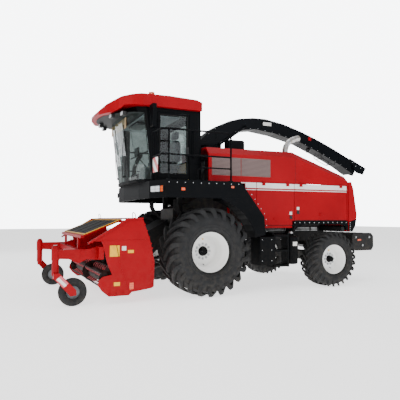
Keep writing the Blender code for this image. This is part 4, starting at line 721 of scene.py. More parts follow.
# ---------------------------------------------------------------- paint on the frame's own nodes
NODE_FINISHES = {
    "red": ("hood_shell", "cab_roof", "caster_left", "caster_right", "guard_frame", "rear_door", "header_frame",
            "side_door_front_left", "side_door_front_right", "side_door_rear_left", "side_door_rear_right"),
    "black": ("cab_platform", "cab_shell", "cab_door", "fender_left", "fender_right", "handrail_left",
              "handrail_right", "mirror_left", "mirror_right", "service_steps", "air_cleaner", "fuel_tank"),
    "frame": ("main_frame", "drive_axle", "rear_axle", "steering_knuckle_left", "steering_knuckle_right",
              "counterweight", "feeder_housing", "header_lift_barrels", "auger"),
    "spout": ("spout_turret", "spout_chute", "spout_flap", "spout_lift_barrel", "spout_lift_rod"),
    "cast": ("engine_block", "chopper_housing"),
    "chrome": ("header_lift_rod_left", "header_lift_rod_right"),
    "pipe": ("exhaust_pipe",),
    "worn": ("pickup_drum",),
    "trim": ("steering_column", "seat"),
    "amber": ("beacon",),
    "glass": ("windshield", "door_glass", "right_window", "rear_window"),
}


class HARVESTER_OT_paintwork(bpy.types.Operator):
    """Give every frame node that stays in view its finish"""

    bl_idname = "harvester.paintwork"
    bl_label = "Paintwork"

    def execute(self, context):
        for name, nodes in NODE_FINISHES.items():
            for node in nodes:
                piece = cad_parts[node]
                piece.data.materials.clear()
                piece.data.materials.append(finish(name))
        return {"FINISHED"}


# ---------------------------------------------------------------- hood
HOOD_X = box("hood_shell")[1][0]
DOORS = {word: box(f"side_door_{word}_left")[:, 1] for word in ("front", "rear")}      # each door's two ends
DOOR_TOP = 2.10
VINYL = 0.0012        # how far the stripes' vinyl stands off the paint


def stripe_edges(y):
    """The white stripe's lower and upper height: its lower edge rises a little towards the rear."""
    y = np.asarray(y, float)
    deep = looks().stripe * (1 - 0.10 * (y - 0.9) / 2.55)
    return DOOR_TOP - 0.001 - deep, np.full_like(y, DOOR_TOP - 0.001)


def flank_plate(y, low, high, x):
    """A vinyl strip on the left flank between two height curves."""
    outline = np.concatenate([np.column_stack([y, low]), np.column_stack([y, high])[::-1]])
    return plate(outline, "x", x, x + VINYL, 0.0006)


class HARVESTER_OT_hood(bpy.types.Operator):
    """Trim the hood: stripes, screens, seams, handles, arch bands and bolts"""

    bl_idname = "harvester.hood"
    bl_label = "Hood trim"

    def execute(self, context):
        x = HOOD_X
        for side, word in SIDES:
            spans = {"chassis": (0.905, 1.150), **{f"side_door_{place}_{word}": DOORS[place] for place in DOORS}}
            for body, (start, end) in spans.items():
                y = np.linspace(start + 0.002, end - 0.002, 9)
                low, high = stripe_edges(y)
                parts = [flank_plate(y, low, high, x), flank_plate(y, low - 0.040, low - 0.026, x)]
                build(f"stripe_{word}_{body}", body, on_side(parts, side), "white")
        lead = block((x, 0.64, 2.081), (x + VINYL, 0.903, DOOR_TOP - 0.001), 0.0005)
        build("stripe_lead", "chassis", both([lead]), "white")
        self.screens(x)
        self.seams(x)
        self.handles(x)
        self.arches(x)
        self.rear_panel()
        return {"FINISHED"}

    def screens(self, x):
        """Two punched screens on each flank in a thin painted frame."""
        panels = [block((x - 0.001, y0, 2.215), (x + 0.003, y1, 2.565), 0.001)
                  for y0, y1 in ((0.18, 0.805), (0.815, 1.48))]
        frames = [block((x - 0.001, *low), (x + 0.006, *high), 0.002)
                  for low, high in (((0.168, 2.203), (1.492, 2.217)), ((0.168, 2.563), (1.492, 2.577)),
                                    ((0.168, 2.203), (0.182, 2.577)), ((1.478, 2.203), (1.492, 2.577)))]
        build("intake_screens", "chassis", both(panels), "grille")
        build("screen_frames", "chassis", both(frames), "red")

    def seams(self, x):
        """The dark joint between the hood's two upper panels, and the rows of bolts beside it and below."""
        y, top = 2.08, 2.646
        seam = block((x - 0.001, y - 0.003, 2.13), (x + 0.0008, y + 0.003, top), 0.0004)
        heads = [head for start, end, count in (((x, y + 0.035, 2.18), (x, y + 0.035, top - 0.05), 4),
                                                ((x, 0.93, 1.34), (x, 0.93, 2.0), 6))
                 for head in bolts("x", evenly(start, end, count), looks().bolt * 0.7, 0.006)]
        build("hood_seams", "chassis", both([seam]), "rubber")
        build("hood_bolts", "chassis", both(heads), "red")

    def handles(self, x):
        """A pull handle in a dished plate on each side door, a blank badge, and a rubber strip under the door."""
        for side, word in SIDES:
            for place, (y0, y1) in DOORS.items():
                low = box(f"side_door_{place}_left")[0][2]
                at = y0 + 0.085 if place == "rear" else y1 - 0.085
                cup = block((x + 0.0005, at - 0.032, low + 0.13), (x + 0.010, at + 0.032, low + 0.20), 0.005)
                pull = pipe([(x + 0.008, at - 0.022, low + 0.165), (x + 0.020, at - 0.015, low + 0.165),
                             (x + 0.020, at + 0.015, low + 0.165), (x + 0.008, at + 0.022, low + 0.165)], 0.005, 8, 3)
                badge = block((x + 0.0005, at - 0.030, low + 0.215), (x + 0.003, at + 0.030, low + 0.275), 0.001)
                seal = block((x - 0.012, y0 + 0.01, low + 0.002), (x + 0.001, y1 - 0.01, low + 0.010), 0.002)
                for part_name, parts, look in (("cup", [cup, pull], "trim"), ("badge", [badge], "label"),
                                               ("seal", [seal], "rubber")):
                    build(f"door_{part_name}_{place}_{word}", f"side_door_{place}_{word}", on_side(parts, side),
                          look)

    def arches(self, x):
        """Black bands that close the flanks over the steered wheels, and a slanted mud flap ahead of each."""
        flap_x = 1.10
        band = [(1.99, 1.355), (1.99, 1.11), (2.03, 1.11), (2.14, 1.245), (2.30, 1.275), (3.25, 1.275), (3.38, 1.245),
                (3.455, 1.13), (3.455, 1.355)]
        sill = [(0.92, 1.255), (0.92, 1.21), (1.99, 1.21), (1.99, 1.255)]
        flap = strip([(flap_x, 2.045, 1.245), (flap_x, 1.985, 1.08), (flap_x, 1.93, 0.92)], (1, 0, 0), 0.30, 0.010, 4)
        face = strip([(flap_x, 2.052, 1.235), (flap_x, 1.992, 1.075), (flap_x, 1.938, 0.925)], (1, 0, 0), 0.26,
                     0.004, 4)
        heads = bolts("x", evenly((x, 2.06, 1.315), (x, 3.40, 1.315), 12), looks().bolt * 0.8, 0.007)
        build("arch_bands", "chassis", both([plate(band, "x", x - 0.028, x, 0.003)]), "black")
        build("sill_panels", "chassis", both([plate(sill, "x", x - 0.028, x, 0.003)]), "red")
        build("mud_flaps", "chassis", both([flap]), "rubber")
        build("mud_flap_faces", "chassis", both([face]), "white")
        build("arch_bolts", "chassis", both(heads), "steel")

    def rear_panel(self):
        """Bolts, lamps, a handle, vents and blank plates on the bowed rear door."""
        skirt = [(3.484, 1.117), (3.581, 1.117), (3.664, 1.248), (3.698, 1.39), (3.484, 1.33)]
        build("rear_skirt", "rear_door", [plate(skirt, "x", -1.197, 1.197, 0.002)], "black")
        dots = bolts("x", evenly((1.197, 3.515, 1.14), (1.197, 3.515, 1.31), 5), 0.008, 0.005)
        build("rear_door_bolts", "rear_door", both(dots), "steel")
        heights = np.linspace(1.58, 1.98, 9)
        slats = [block((-0.62, y - 0.004, z), (0.62, y + 0.012, z + 0.016), 0.004)
                 for y, z in zip(np.interp(heights, [1.48, 2.05], [3.71, 3.62]), heights)]
        build("rear_vents", "rear_door", slats, "trim")
        lamps = (("rear_lamp_cases", (-0.11, 3.66, 1.295), (0.11, 3.695, 1.425), 0.008, "trim"),
                 ("rear_lamps", (-0.09, 3.69, 1.31), (0.01, 3.709, 1.41), 0.006, "tail"),
                 ("rear_turn_lamps", (0.02, 3.69, 1.31), (0.09, 3.709, 1.41), 0.006, "amber"))
        for name, low, high, edge, look in lamps:
            pair = [block(np.add(low, (px, 0, 0)), np.add(high, (px, 0, 0)), edge) for px in (0.98, -0.98)]
            build(name, "rear_door", pair, look)
        plate_blank = block((-0.26, 3.672, 1.31), (0.26, 3.694, 1.42), 0.004)
        build("rear_blank_plate", "rear_door", [plate_blank], "label")
        pull = pipe([(0.78, 3.655, 1.70), (0.78, 3.70, 1.72), (0.78, 3.69, 1.84), (0.78, 3.64, 1.86)], 0.008, 8, 4)
        build("rear_handle", "rear_door", [pull], "steel")


# ---------------------------------------------------------------- spout
SPOUT_TOP = np.array([(0.53, 3.16), (0.63, 3.25), (0.77, 3.35), (0.92, 3.43), (1.11, 3.515), (1.36, 3.59),
                      (1.70, 3.64), (2.03, 3.645), (2.52, 3.57), (3.02, 3.435), (3.55, 3.255), (4.03, 3.065),
                      (4.47, 2.87)])
SPOUT_UNDER = np.array([(1.06, 3.09), (1.18, 3.18), (1.28, 3.27), (1.46, 3.35), (1.77, 3.39), (2.30, 3.33),
                        (3.02, 3.17), (3.54, 2.975), (4.21, 2.69), (4.54, 2.51)])


SPOUT_X = 0.165       # the chute's outer side


def along(path, spacing, inward):
    """Evenly spaced places on a path in the side view, drawn in by a distance square to the path."""
    step = np.linalg.norm(np.diff(path, axis=0), axis=1)
    run = np.concatenate([[0], np.cumsum(step)])
    at = np.arange(spacing / 2, run[-1], spacing)
    y, z = np.interp(at, run, path[:, 0]), np.interp(at, run, path[:, 1])
    tangent = np.stack([np.gradient(y), np.gradient(z)], 1)
    tangent /= np.linalg.norm(tangent, axis=1, keepdims=True)
    return np.stack([y, z], 1) + np.stack([tangent[:, 1], -tangent[:, 0]], 1) * inward


class HARVESTER_OT_spout(bpy.types.Operator):
    """Trim the spout: edge flanges with their bolts, stiffeners, hoses, lamp, blank plates and the flap's slats"""

    bl_idname = "harvester.spout"
    bl_label = "Spout trim"

    def execute(self, context):
        x = SPOUT_X
        flanges, heads = [], []
        for path, inward in ((SPOUT_TOP, 0.020), (SPOUT_UNDER, -0.020)):
            line = along(path, 0.06, inward)
            tangent = np.gradient(line, axis=0)
            tangent /= np.linalg.norm(tangent, axis=1, keepdims=True)
            across = np.stack([tangent[:, 1], -tangent[:, 0]], 1) * 0.017
            corners = ((x - 0.001, -across), (x + 0.005, -across), (x + 0.005, across), (x - 0.001, across))
            rings = [np.column_stack([np.full(len(line), px), line + off]) for px, off in corners]
            flanges.append(skin(np.stack(rings, 1)))
            places = along(path, 0.19, inward)[:-1]
            heads += bolts("x", np.column_stack([np.full(len(places), x + 0.005), places]), 0.0060, 0.005)
        build("spout_flanges", "spout_chute", both(flanges), "spout")
        build("spout_bolts", "spout_chute", both(heads), "steel")
        ribs = []
        for y in (0.80, 1.95, 2.75, 3.55, 4.15):
            top = np.interp(y, SPOUT_TOP[:, 0], SPOUT_TOP[:, 1]) - 0.042
            under = np.interp(y, SPOUT_UNDER[:, 0], SPOUT_UNDER[:, 1]) + 0.042 if y > 1.06 else 3.10
            ribs.append(block((x - 0.001, y - 0.018, under), (x + 0.009, y + 0.018, top), 0.003))
        build("spout_ribs", "spout_chute", both(ribs), "spout")
        build("spout_label", "spout_chute", [block((x - 0.001, 1.95, 3.495), (x + 0.002, 2.19, 3.57), 0.0008)],
              "label")
        build("spout_red_bracket", "spout_chute", [block((x - 0.001, 3.22, 3.24), (x + 0.014, 3.30, 3.32), 0.003)],
              "red")
        line = along(SPOUT_TOP, 0.24, 0.056)
        for k, drop in enumerate((0.0, 0.016)):
            path = np.column_stack([np.full(len(line), -x - 0.010), line[:, 0], line[:, 1] - drop])
            build(f"spout_hose_{k}", "spout_chute", [pipe(path, 0.0065, 8, 4)], "rubber")
        cradle = pipe([(0.13, 3.62, 2.935), (0.13, 3.66, 2.86), (0.13, 4.0, 2.72), (0.13, 4.05, 2.78)], 0.008, 8, 5)
        rungs = [pipe([(-0.13, y, z), (0.13, y, z)], 0.008, 8, 1) for y, z in ((3.68, 2.848), (3.98, 2.727))]
        build("spout_rest_bars", "spout_chute", both([cradle]) + rungs, "frame")
        build("spout_lamp_case", "spout_chute", [block((-0.05, 3.30, 2.985), (0.05, 3.36, 3.07), 0.012)], "trim")
        build("spout_lamp_face", "spout_chute", [block((-0.042, 3.355, 2.992), (0.042, 3.366, 3.058), 0.004)],
              "clear")
        share = np.linspace(0.12, 0.92, 7)
        slats = [block((-0.170, y - 0.010, z - 0.006), (0.170, y + 0.010, z + 0.003), 0.003)
                 for y, z in zip(4.492 + share * 0.485, 2.879 - share * 0.213)]
        build("flap_slats", "spout_flap", slats, "steel")
        cheek = bolts("x", [(0.1826, 4.56, 2.79), (0.1826, 4.66, 2.70), (0.1826, 4.82, 2.66)], 0.009, 0.006)
        build("flap_bolts", "spout_flap", both(cheek), "steel")
        build("lift_pin_cap", "spout_lift_rod", [disc((0.244, 1.50, 3.42), "x", 0.020, 0, 0.007)], "spout")
        turn = np.arange(20) * 2 * math.pi / 20
        flange_z = box("spout_turret")[0][2] + 0.022
        collar = np.column_stack([0.245 * np.cos(turn), 0.65 + 0.245 * np.sin(turn), np.full(20, flange_z)])
        build("turret_bolts", "spout_turret", bolts("z", collar, 0.009, 0.009), "steel")
        return {"FINISHED"}


# ---------------------------------------------------------------- cab
def touch(node, x, z):
    """The place on a node's front that a line along +Y, from well ahead of it, meets at this x and height."""
    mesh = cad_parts[node].data
    co = np.zeros(len(mesh.vertices) * 3)
    mesh.vertices.foreach_get("co", co)
    tree = BVHTree.FromPolygons(co.reshape(-1, 3).tolist(), [tuple(p.vertices) for p in mesh.polygons])
    hit = tree.ray_cast((x, AXLE_Y - 3.0, z), (0, 1, 0))[0]
    if hit is None:
        raise RuntimeError(f"{node} isn't behind x {x}, z {z}")
    return np.array((hit[0], hit[1] - AXLE_Y, hit[2]))


def pad(low, high, power=0.42, steps=40):
    """A crowned cushion between two corners: a superellipsoid whose sides pull in between its corners.

    x, y and z are half sizes times signed powers of cos and sin of the two angles, and each side is drawn
    in by 3 percent where the other two are largest.
    """
    low, high = np.array(low, float), np.array(high, float)
    half, at = (high - low) / 2, (high + low) / 2
    u = np.arange(steps) * 2 * math.pi / steps
    v = np.linspace(-math.pi / 2 + 0.02, math.pi / 2 - 0.02, steps // 2)

    def bend(w):
        """A signed power, which squares the section up."""
        return np.sign(w) * np.abs(w) ** power

    x = np.outer(bend(np.cos(v)), bend(np.cos(u)))
    y = np.outer(bend(np.cos(v)), bend(np.sin(u)))
    z = np.outer(bend(np.sin(v)), np.ones(steps))
    draw = 1 - 0.03 * (1 - np.abs(x) ** 4) * (1 - np.abs(y) ** 4)
    crown = z * (1 + 0.12 * (1 - x ** 2) * (1 - y ** 2))
    return skin(np.stack([x * draw, y * draw, crown / 1.12], -1) * half + at)


class HARVESTER_OT_cab_inside(bpy.types.Operator):
    """Furnish the cab: sprung seat, armrest with lever, console, displays, blinds and pedals"""

    bl_idname = "harvester.cab_inside"
    bl_label = "Cab inside"

    def execute(self, context):
        floor = box("seat")[0][2] + 0.0005
        base = [block((-0.20, -0.52, floor), (0.20, -0.06, floor + 0.045), 0.01),
                block((-0.16, -0.47, floor + 0.26), (0.16, -0.08, floor + 0.315), 0.012),
                block((-0.21, -0.58, floor + 0.31), (0.21, -0.06, floor + 0.345), 0.012)]
        folds = [block((-x, -0.46, floor + 0.045 + k * 0.027), (x, -0.09, floor + 0.072 + k * 0.027), 0.009)
                 for k, x in enumerate([0.15, 0.156] * 4)]
        stand = build("seat_pedestal", "chassis", base, "trim")
        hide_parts("seat")
        build("seat_bellows", "chassis", folds, "rubber")
        for name, low, high in (("seat_cushion", (-0.25, -0.615, floor + 0.335), (0.25, -0.10, floor + 0.445)),
                                ("seat_backrest", (-0.235, -0.155, 2.53), (0.235, -0.035, 3.02)),
                                ("seat_headrest", (-0.14, -0.135, 3.035), (0.14, -0.04, 3.20))):
            piece = build(name, "chassis", [pad(low, high)], "cloth", 70)
        sides = [pad((px - 0.035, -0.60, floor + 0.36), (px + 0.035, -0.14, floor + 0.462)) for px in (-0.222, 0.222)]
        bolsters = build("seat_bolsters", "chassis", sides, "trim", 70)
        pins = [pipe([(px, -0.085, 3.00), (px, -0.085, 3.06)], 0.006, 8, 1) for px in (-0.06, 0.06)]
        build("headrest_pins", "chassis", pins, "steel")
        arm = [block((-0.40, -0.55, 2.64), (-0.28, -0.12, 2.70), 0.02),
               block((-0.36, -0.25, 2.35), (-0.32, -0.18, 2.65), 0.008)]
        build("armrest", "chassis", arm, "trim")
        lever = [pipe([(-0.34, -0.48, 2.70), (-0.34, -0.50, 2.78), (-0.34, -0.50, 2.82)], 0.011, 10, 3),
                 block((-0.365, -0.525, 2.81), (-0.315, -0.475, 2.89), 0.014)]
        build("drive_lever", "chassis", lever, "rubber")
        side_view = [(-0.60, floor), (-0.08, floor), (-0.10, 2.42), (-0.20, 2.52), (-0.58, 2.50)]
        console = plate(side_view, "x", -0.86, -0.46, 0.015)
        build("side_console", "chassis", [console], "grey")
        rows = [(-0.62 - 0.07 * k, -0.25 - 0.11 * j, 2.505) for k in range(3) for j in range(3)]
        build("console_knobs", "chassis", [spread(disc((0, 0, 0), "z", 0.016, 0, 0.022, 14), rows)], "sun")
        display = [block((-0.62, -0.78, 2.72), (-0.36, -0.745, 2.90), 0.01),
                   pipe([(-0.50, -0.76, 2.73), (-0.60, -0.55, 2.55), (-0.62, -0.5, 2.49)], 0.01, 8, 4)]
        build("display_case", "chassis", display, "trim")
        build("display_glass", "chassis", [block((-0.605, -0.747, 2.735), (-0.375, -0.742, 2.885), 0.001)], "screen")
        build("cab_lining", "chassis", [block((-0.70, 0.012, 2.12), (0.70, 0.019, 2.52), 0.003)], "tan")
        build("head_lining", "chassis", [block((-0.80, -1.02, 3.30), (0.80, -0.30, 3.345), 0.012)], "grey")
        build("roof_console", "chassis", [block((-0.30, -1.00, 3.24), (0.30, -0.72, 3.302), 0.015)], "trim")
        glass_y = touch("windshield", 0.0, 3.2)[1]
        build("sun_blind", "chassis", [block((-0.55, glass_y + 0.045, 3.10), (0.55, glass_y + 0.051, 3.30), 0.002)],
              "tan")
        pedal_x = (-0.13, 0.13, 0.24)
        pedals = [block((px - 0.035, -0.99, floor + 0.06), (px + 0.035, -0.94, floor + 0.17), 0.01) for px in pedal_x]
        arms = [pipe([(px, -0.96, floor + 0.08), (px, -0.86, floor + 0.01)], 0.009, 8, 2) for px in pedal_x]
        build("pedals", "chassis", pedals + arms, "trim")
        return {"FINISHED"}


class HARVESTER_OT_cab_outside(bpy.types.Operator):
    """Trim the cab's outside: wipers, seals, work lamps, mirror glass, door handle, vents and marker plate"""

    bl_idname = "harvester.cab_outside"
    bl_label = "Cab outside"

    def execute(self, context):
        foot_z, tip_z = 2.22, 2.92
        for k, (foot_x, tip_x) in enumerate(((0.10, 0.40), (-0.45, -0.15))):
            places = [touch("windshield", foot_x + (tip_x - foot_x) * s, foot_z + (tip_z - foot_z) * s)
                      for s in (0, 0.33, 0.66, 1)]
            arm = [p - (0, clear, 0) for p, clear in zip(places, (0.024, 0.034, 0.034, 0.024))]
            blade = [touch("windshield", tip_x + 0.02 * s, tip_z + 0.25 * s) - (0, 0.012, 0)
                     for s in (-1, -0.5, 0, 0.5, 1)]
            hub = disc(places[0] - (0, 0.03, 0), "y", 0.022, 0, 0.03)
            build(f"wiper_arm_{k}", "chassis", [pipe(arm, 0.006, 8, 4), hub], "trim")
            build(f"wiper_blade_{k}", "chassis", [strip(blade, (1, 0, 0), 0.012, 0.010, 3)], "rubber")
        lamps, faces = [], []
        for px in (0.78, 0.48, -0.48, -0.78):
            y = np.interp(abs(px), [0.35, 0.60, 0.85], [-1.62, -1.53, -1.40])
            lamps.append(block((px - 0.075, y, 3.27), (px + 0.075, y + 0.08, 3.345), 0.012))
            faces.append(block((px - 0.066, y - 0.006, 3.278), (px + 0.066, y + 0.003, 3.337), 0.004))
        build("work_lamp_cases", "chassis", lamps, "trim")
        build("work_lamp_faces", "chassis", faces, "clear")
        visor = [(1.02, -1.09), (0.98, -1.28), (0.83, -1.47), (0.58, -1.62), (0.34, -1.72), (0.10, -1.755)]
        outline = np.array(visor + [(-px, py) for px, py in reversed(visor)]) * (0.93, 0.97)
        low = box("cab_roof")[0][2]
        under = build("visor_underside", "chassis", [plate(outline, "z", low - 0.0005, low + 0.010, 0.002)],
                      "black")
        glass = block((1.062, -0.921, 3.04), (1.228, -0.9165, 3.42), 0.002)
        for side, word in SIDES:
            build(f"mirror_face_{word}", "chassis", on_side([glass], side), "mirror")
        outer = 0.9535        # the door's outer skin
        handle = [block((outer - 0.003, -0.245, 2.60), (outer + 0.010, -0.185, 2.74), 0.006),
                  pipe([(outer + 0.008, -0.215, 2.62), (outer + 0.026, -0.215, 2.635), (outer + 0.026, -0.215, 2.705),
                        (outer + 0.008, -0.215, 2.72)], 0.006, 8, 4)]
        build("door_handle", "cab_door", handle, "trim")
        (_, y0, z0), (_, y1, z1) = box("door_glass")
        lap, over = 0.006, 0.010
        edges = (((y0 - over, z0 - over), (y1 + over, z0 + lap)), ((y0 - over, z1 - lap), (y1 + over, z1 + over)),
                 ((y0 - over, z0 - over), (y0 + lap, z1 + over)), ((y1 - lap, z0 - over), (y1 + over, z1 + over)))
        seal = [block((0.949, *start), (0.955, *end), 0.002) for start, end in edges]
        build("door_glass_seal", "cab_door", seal, "rubber")
        build("marker_plate", "chassis", [block((1.14, -0.956, 2.21), (1.40, -0.950, 2.47), 0.002)], "hazard")
        build("marker_clips", "chassis", [block((1.20, -0.951, 2.44), (1.34, -0.915, 2.50), 0.003)], "black")
        vents = [block((-0.55, 0.056, z), (0.55, 0.0605, z + 0.012), 0.002) for z in np.linspace(3.42, 3.55, 6)]
        build("roof_vents", "chassis", vents, "trim")
        base = (*centre("beacon")[:2], box("beacon")[0][2])
        ring = lathe([(0.012, 0.046), (0.026, 0.058), (0.038, 0.0575), (0.040, 0.0555), (0.020, 0.040), (0.006, 0.034)],
                     base, "z", 36)
        build("beacon_collar", "chassis", [ring], "rubber")
        grab = pipe([(0.952, -0.10, 2.55), (0.995, -0.10, 2.58), (0.995, -0.10, 3.02), (0.952, -0.10, 3.05)], 0.011,
                    10, 4)
        build("grab_rail", "chassis", both([grab]), "black")
        return {"FINISHED"}


# ---------------------------------------------------------------- platform, fenders and steps
PLATFORM_X = 1.55     # the platform's and the fenders' outer side


class HARVESTER_OT_platform(bpy.types.Operator):
    """Trim the platform: bolts, raised tread, headlamps, markers, fender edges, tank cap and tool box"""

    bl_idname = "harvester.platform"
    bl_label = "Platform trim"

    def execute(self, context):
        x = PLATFORM_X
        heads = bolts("x", evenly((x, -0.80, 2.025), (x, 0.56, 2.025), 10), looks().bolt * 0.6, 0.005)
        build("platform_bolts", "chassis", both(heads), "steel")
        rows = np.stack(np.meshgrid(np.linspace(1.06, 1.48, 11), np.linspace(-0.70, 0.33, 26)), -1).reshape(-1, 2)
        stud = plate([(0.014, 0), (0, 0.0045), (-0.014, 0), (0, -0.0045)], "z", -0.001, 0.0035, 0.001)
        flip = np.arange(len(rows)) % 2 * math.pi / 2 + math.pi / 4
        studs = spread(stud, np.column_stack([rows, np.full(len(rows), 2.07)]), turn_about("z", flip))
        build("tread_studs", "chassis", both([studs]), "frame")
        run = np.array((0.47, 0.17))        # the platform's slanted front corner, from its inner end
        turn = turn_about("z", math.atan2(run[1], run[0]))
        cases, clear, amber = [], [], []
        for share, group in ((0.30, clear), (0.55, clear), (0.78, amber)):
            at = (1.08 + run[0] * share, -1.02 + run[1] * share, 1.915)
            wide = 0.055 if group is clear else 0.03
            cases.append(spread(block((-wide - 0.006, -0.012, -0.056), (wide + 0.006, 0.01, 0.056), 0.006), [at], turn))
            group.append(spread(block((-wide, -0.020, -0.05), (wide, -0.010, 0.05), 0.006), [at], turn))
        build("headlamp_cases", "chassis", both(cases), "trim")
        build("headlamp_faces", "chassis", both(clear), "clear")
        build("turn_lamps", "chassis", both(amber), "amber")
        marks = [block((x - 0.001, -0.575, 1.885), (x + 0.010, -0.505, 1.935), 0.003),
                 block((x - 0.001, 0.40, 1.95), (x + 0.010, 0.46, 1.99), 0.003)]
        build("side_markers", "chassis", both(marks), "orange")
        line = along(np.array([(1.13, 1.10), (1.11, 1.43), (0.65, 2.03)]), 0.11, 0.035)
        edge = bolts("x", np.column_stack([np.full(len(line), x), line]), 0.006, 0.005)
        build("fender_bolts", "chassis", both(edge), "steel")
        self.steps()
        return {"FINISHED"}

    def steps(self):
        """Bolts on the tool box, and a filler cap and a blank label on the tank."""
        (face, _, top), mid = box("fuel_tank")[1], centre("fuel_tank")[1]
        cap = [disc((1.28, mid, top - 0.003), "z", 0.042, 0, 0.035, 28, 0.006),
               block((1.25, mid - 0.008, top + 0.03), (1.31, mid + 0.008, top + 0.045), 0.003)]
        build("tank_cap", "chassis", cap, "steel")
        label = block((face - 0.001, mid - 0.05, 0.86), (face + 0.0015, mid + 0.05, 0.94), 0.0006)
        build("tank_label", "chassis", [label], "label")
        side = box("service_steps")[1][0]
        dots = bolts("x", [(side, y, z) for y in (1.09, 1.30) for z in (0.60, 0.80, 1.00)], 0.006, 0.004)
        build("tool_box_bolts", "chassis", dots, "steel")


# ---------------------------------------------------------------- pick-up header
def tines(count, bars, reach, foot):
    """Pick-up tines as arrays: pairs along each bar, each wire curving back as it leaves the drum.

    A tine runs from radius foot to reach while its angle lags by 0.35 * t ** 2, t from 0 to 1.
    """
    t = np.linspace(0, 1, 5)
    r = foot + (reach - foot) * t
    lag = 0.35 * t ** 2
    path = np.stack([np.zeros(5), r * np.sin(lag), r * np.cos(lag)], 1)
    wire = pipe(path, looks().tine, 5, 0)
    x = np.repeat(np.linspace(-1.40, 1.40, count), 2) + np.tile([-0.014, 0.014], count)
    angle = np.arange(bars) * 2 * math.pi / bars
    places = np.column_stack([np.tile(x, bars), np.zeros((len(x) * bars, 2))])
    return spread(wire, places, turn_about("x", np.repeat(angle, len(x))))


class HARVESTER_OT_pickup(bpy.types.Operator):
    """Fill the pick-up: rows of spring tines on its tube, and paddles on the auger"""

    bl_idname = "harvester.pickup"
    bl_label = "Pick-up"

    def execute(self, context):
        at = centre("pickup_drum") * (0, 1, 1)
        build("pickup_tines", "pickup_drum", [spread(tines(20, 5, 0.1945, 0.10), [at])], "pink")
        shell = lathe([(-1.40, 0.092), (-1.39, 0.096), (1.39, 0.096), (1.40, 0.092)], at, "x", 36, loop=False)
        build("pickup_tube", "pickup_drum", [shell], "worn")
        paddle = block((-0.26, -0.004, 0.075), (0.26, 0.004, 0.165), 0.003)
        angles = np.arange(4) * math.pi / 2
        build("auger_paddles", "auger", [spread(paddle, [centre("auger")] * 4, turn_about("x", angles))], "worn")
        return {"FINISHED"}


HEADER_X = 1.50       # the header's outer side


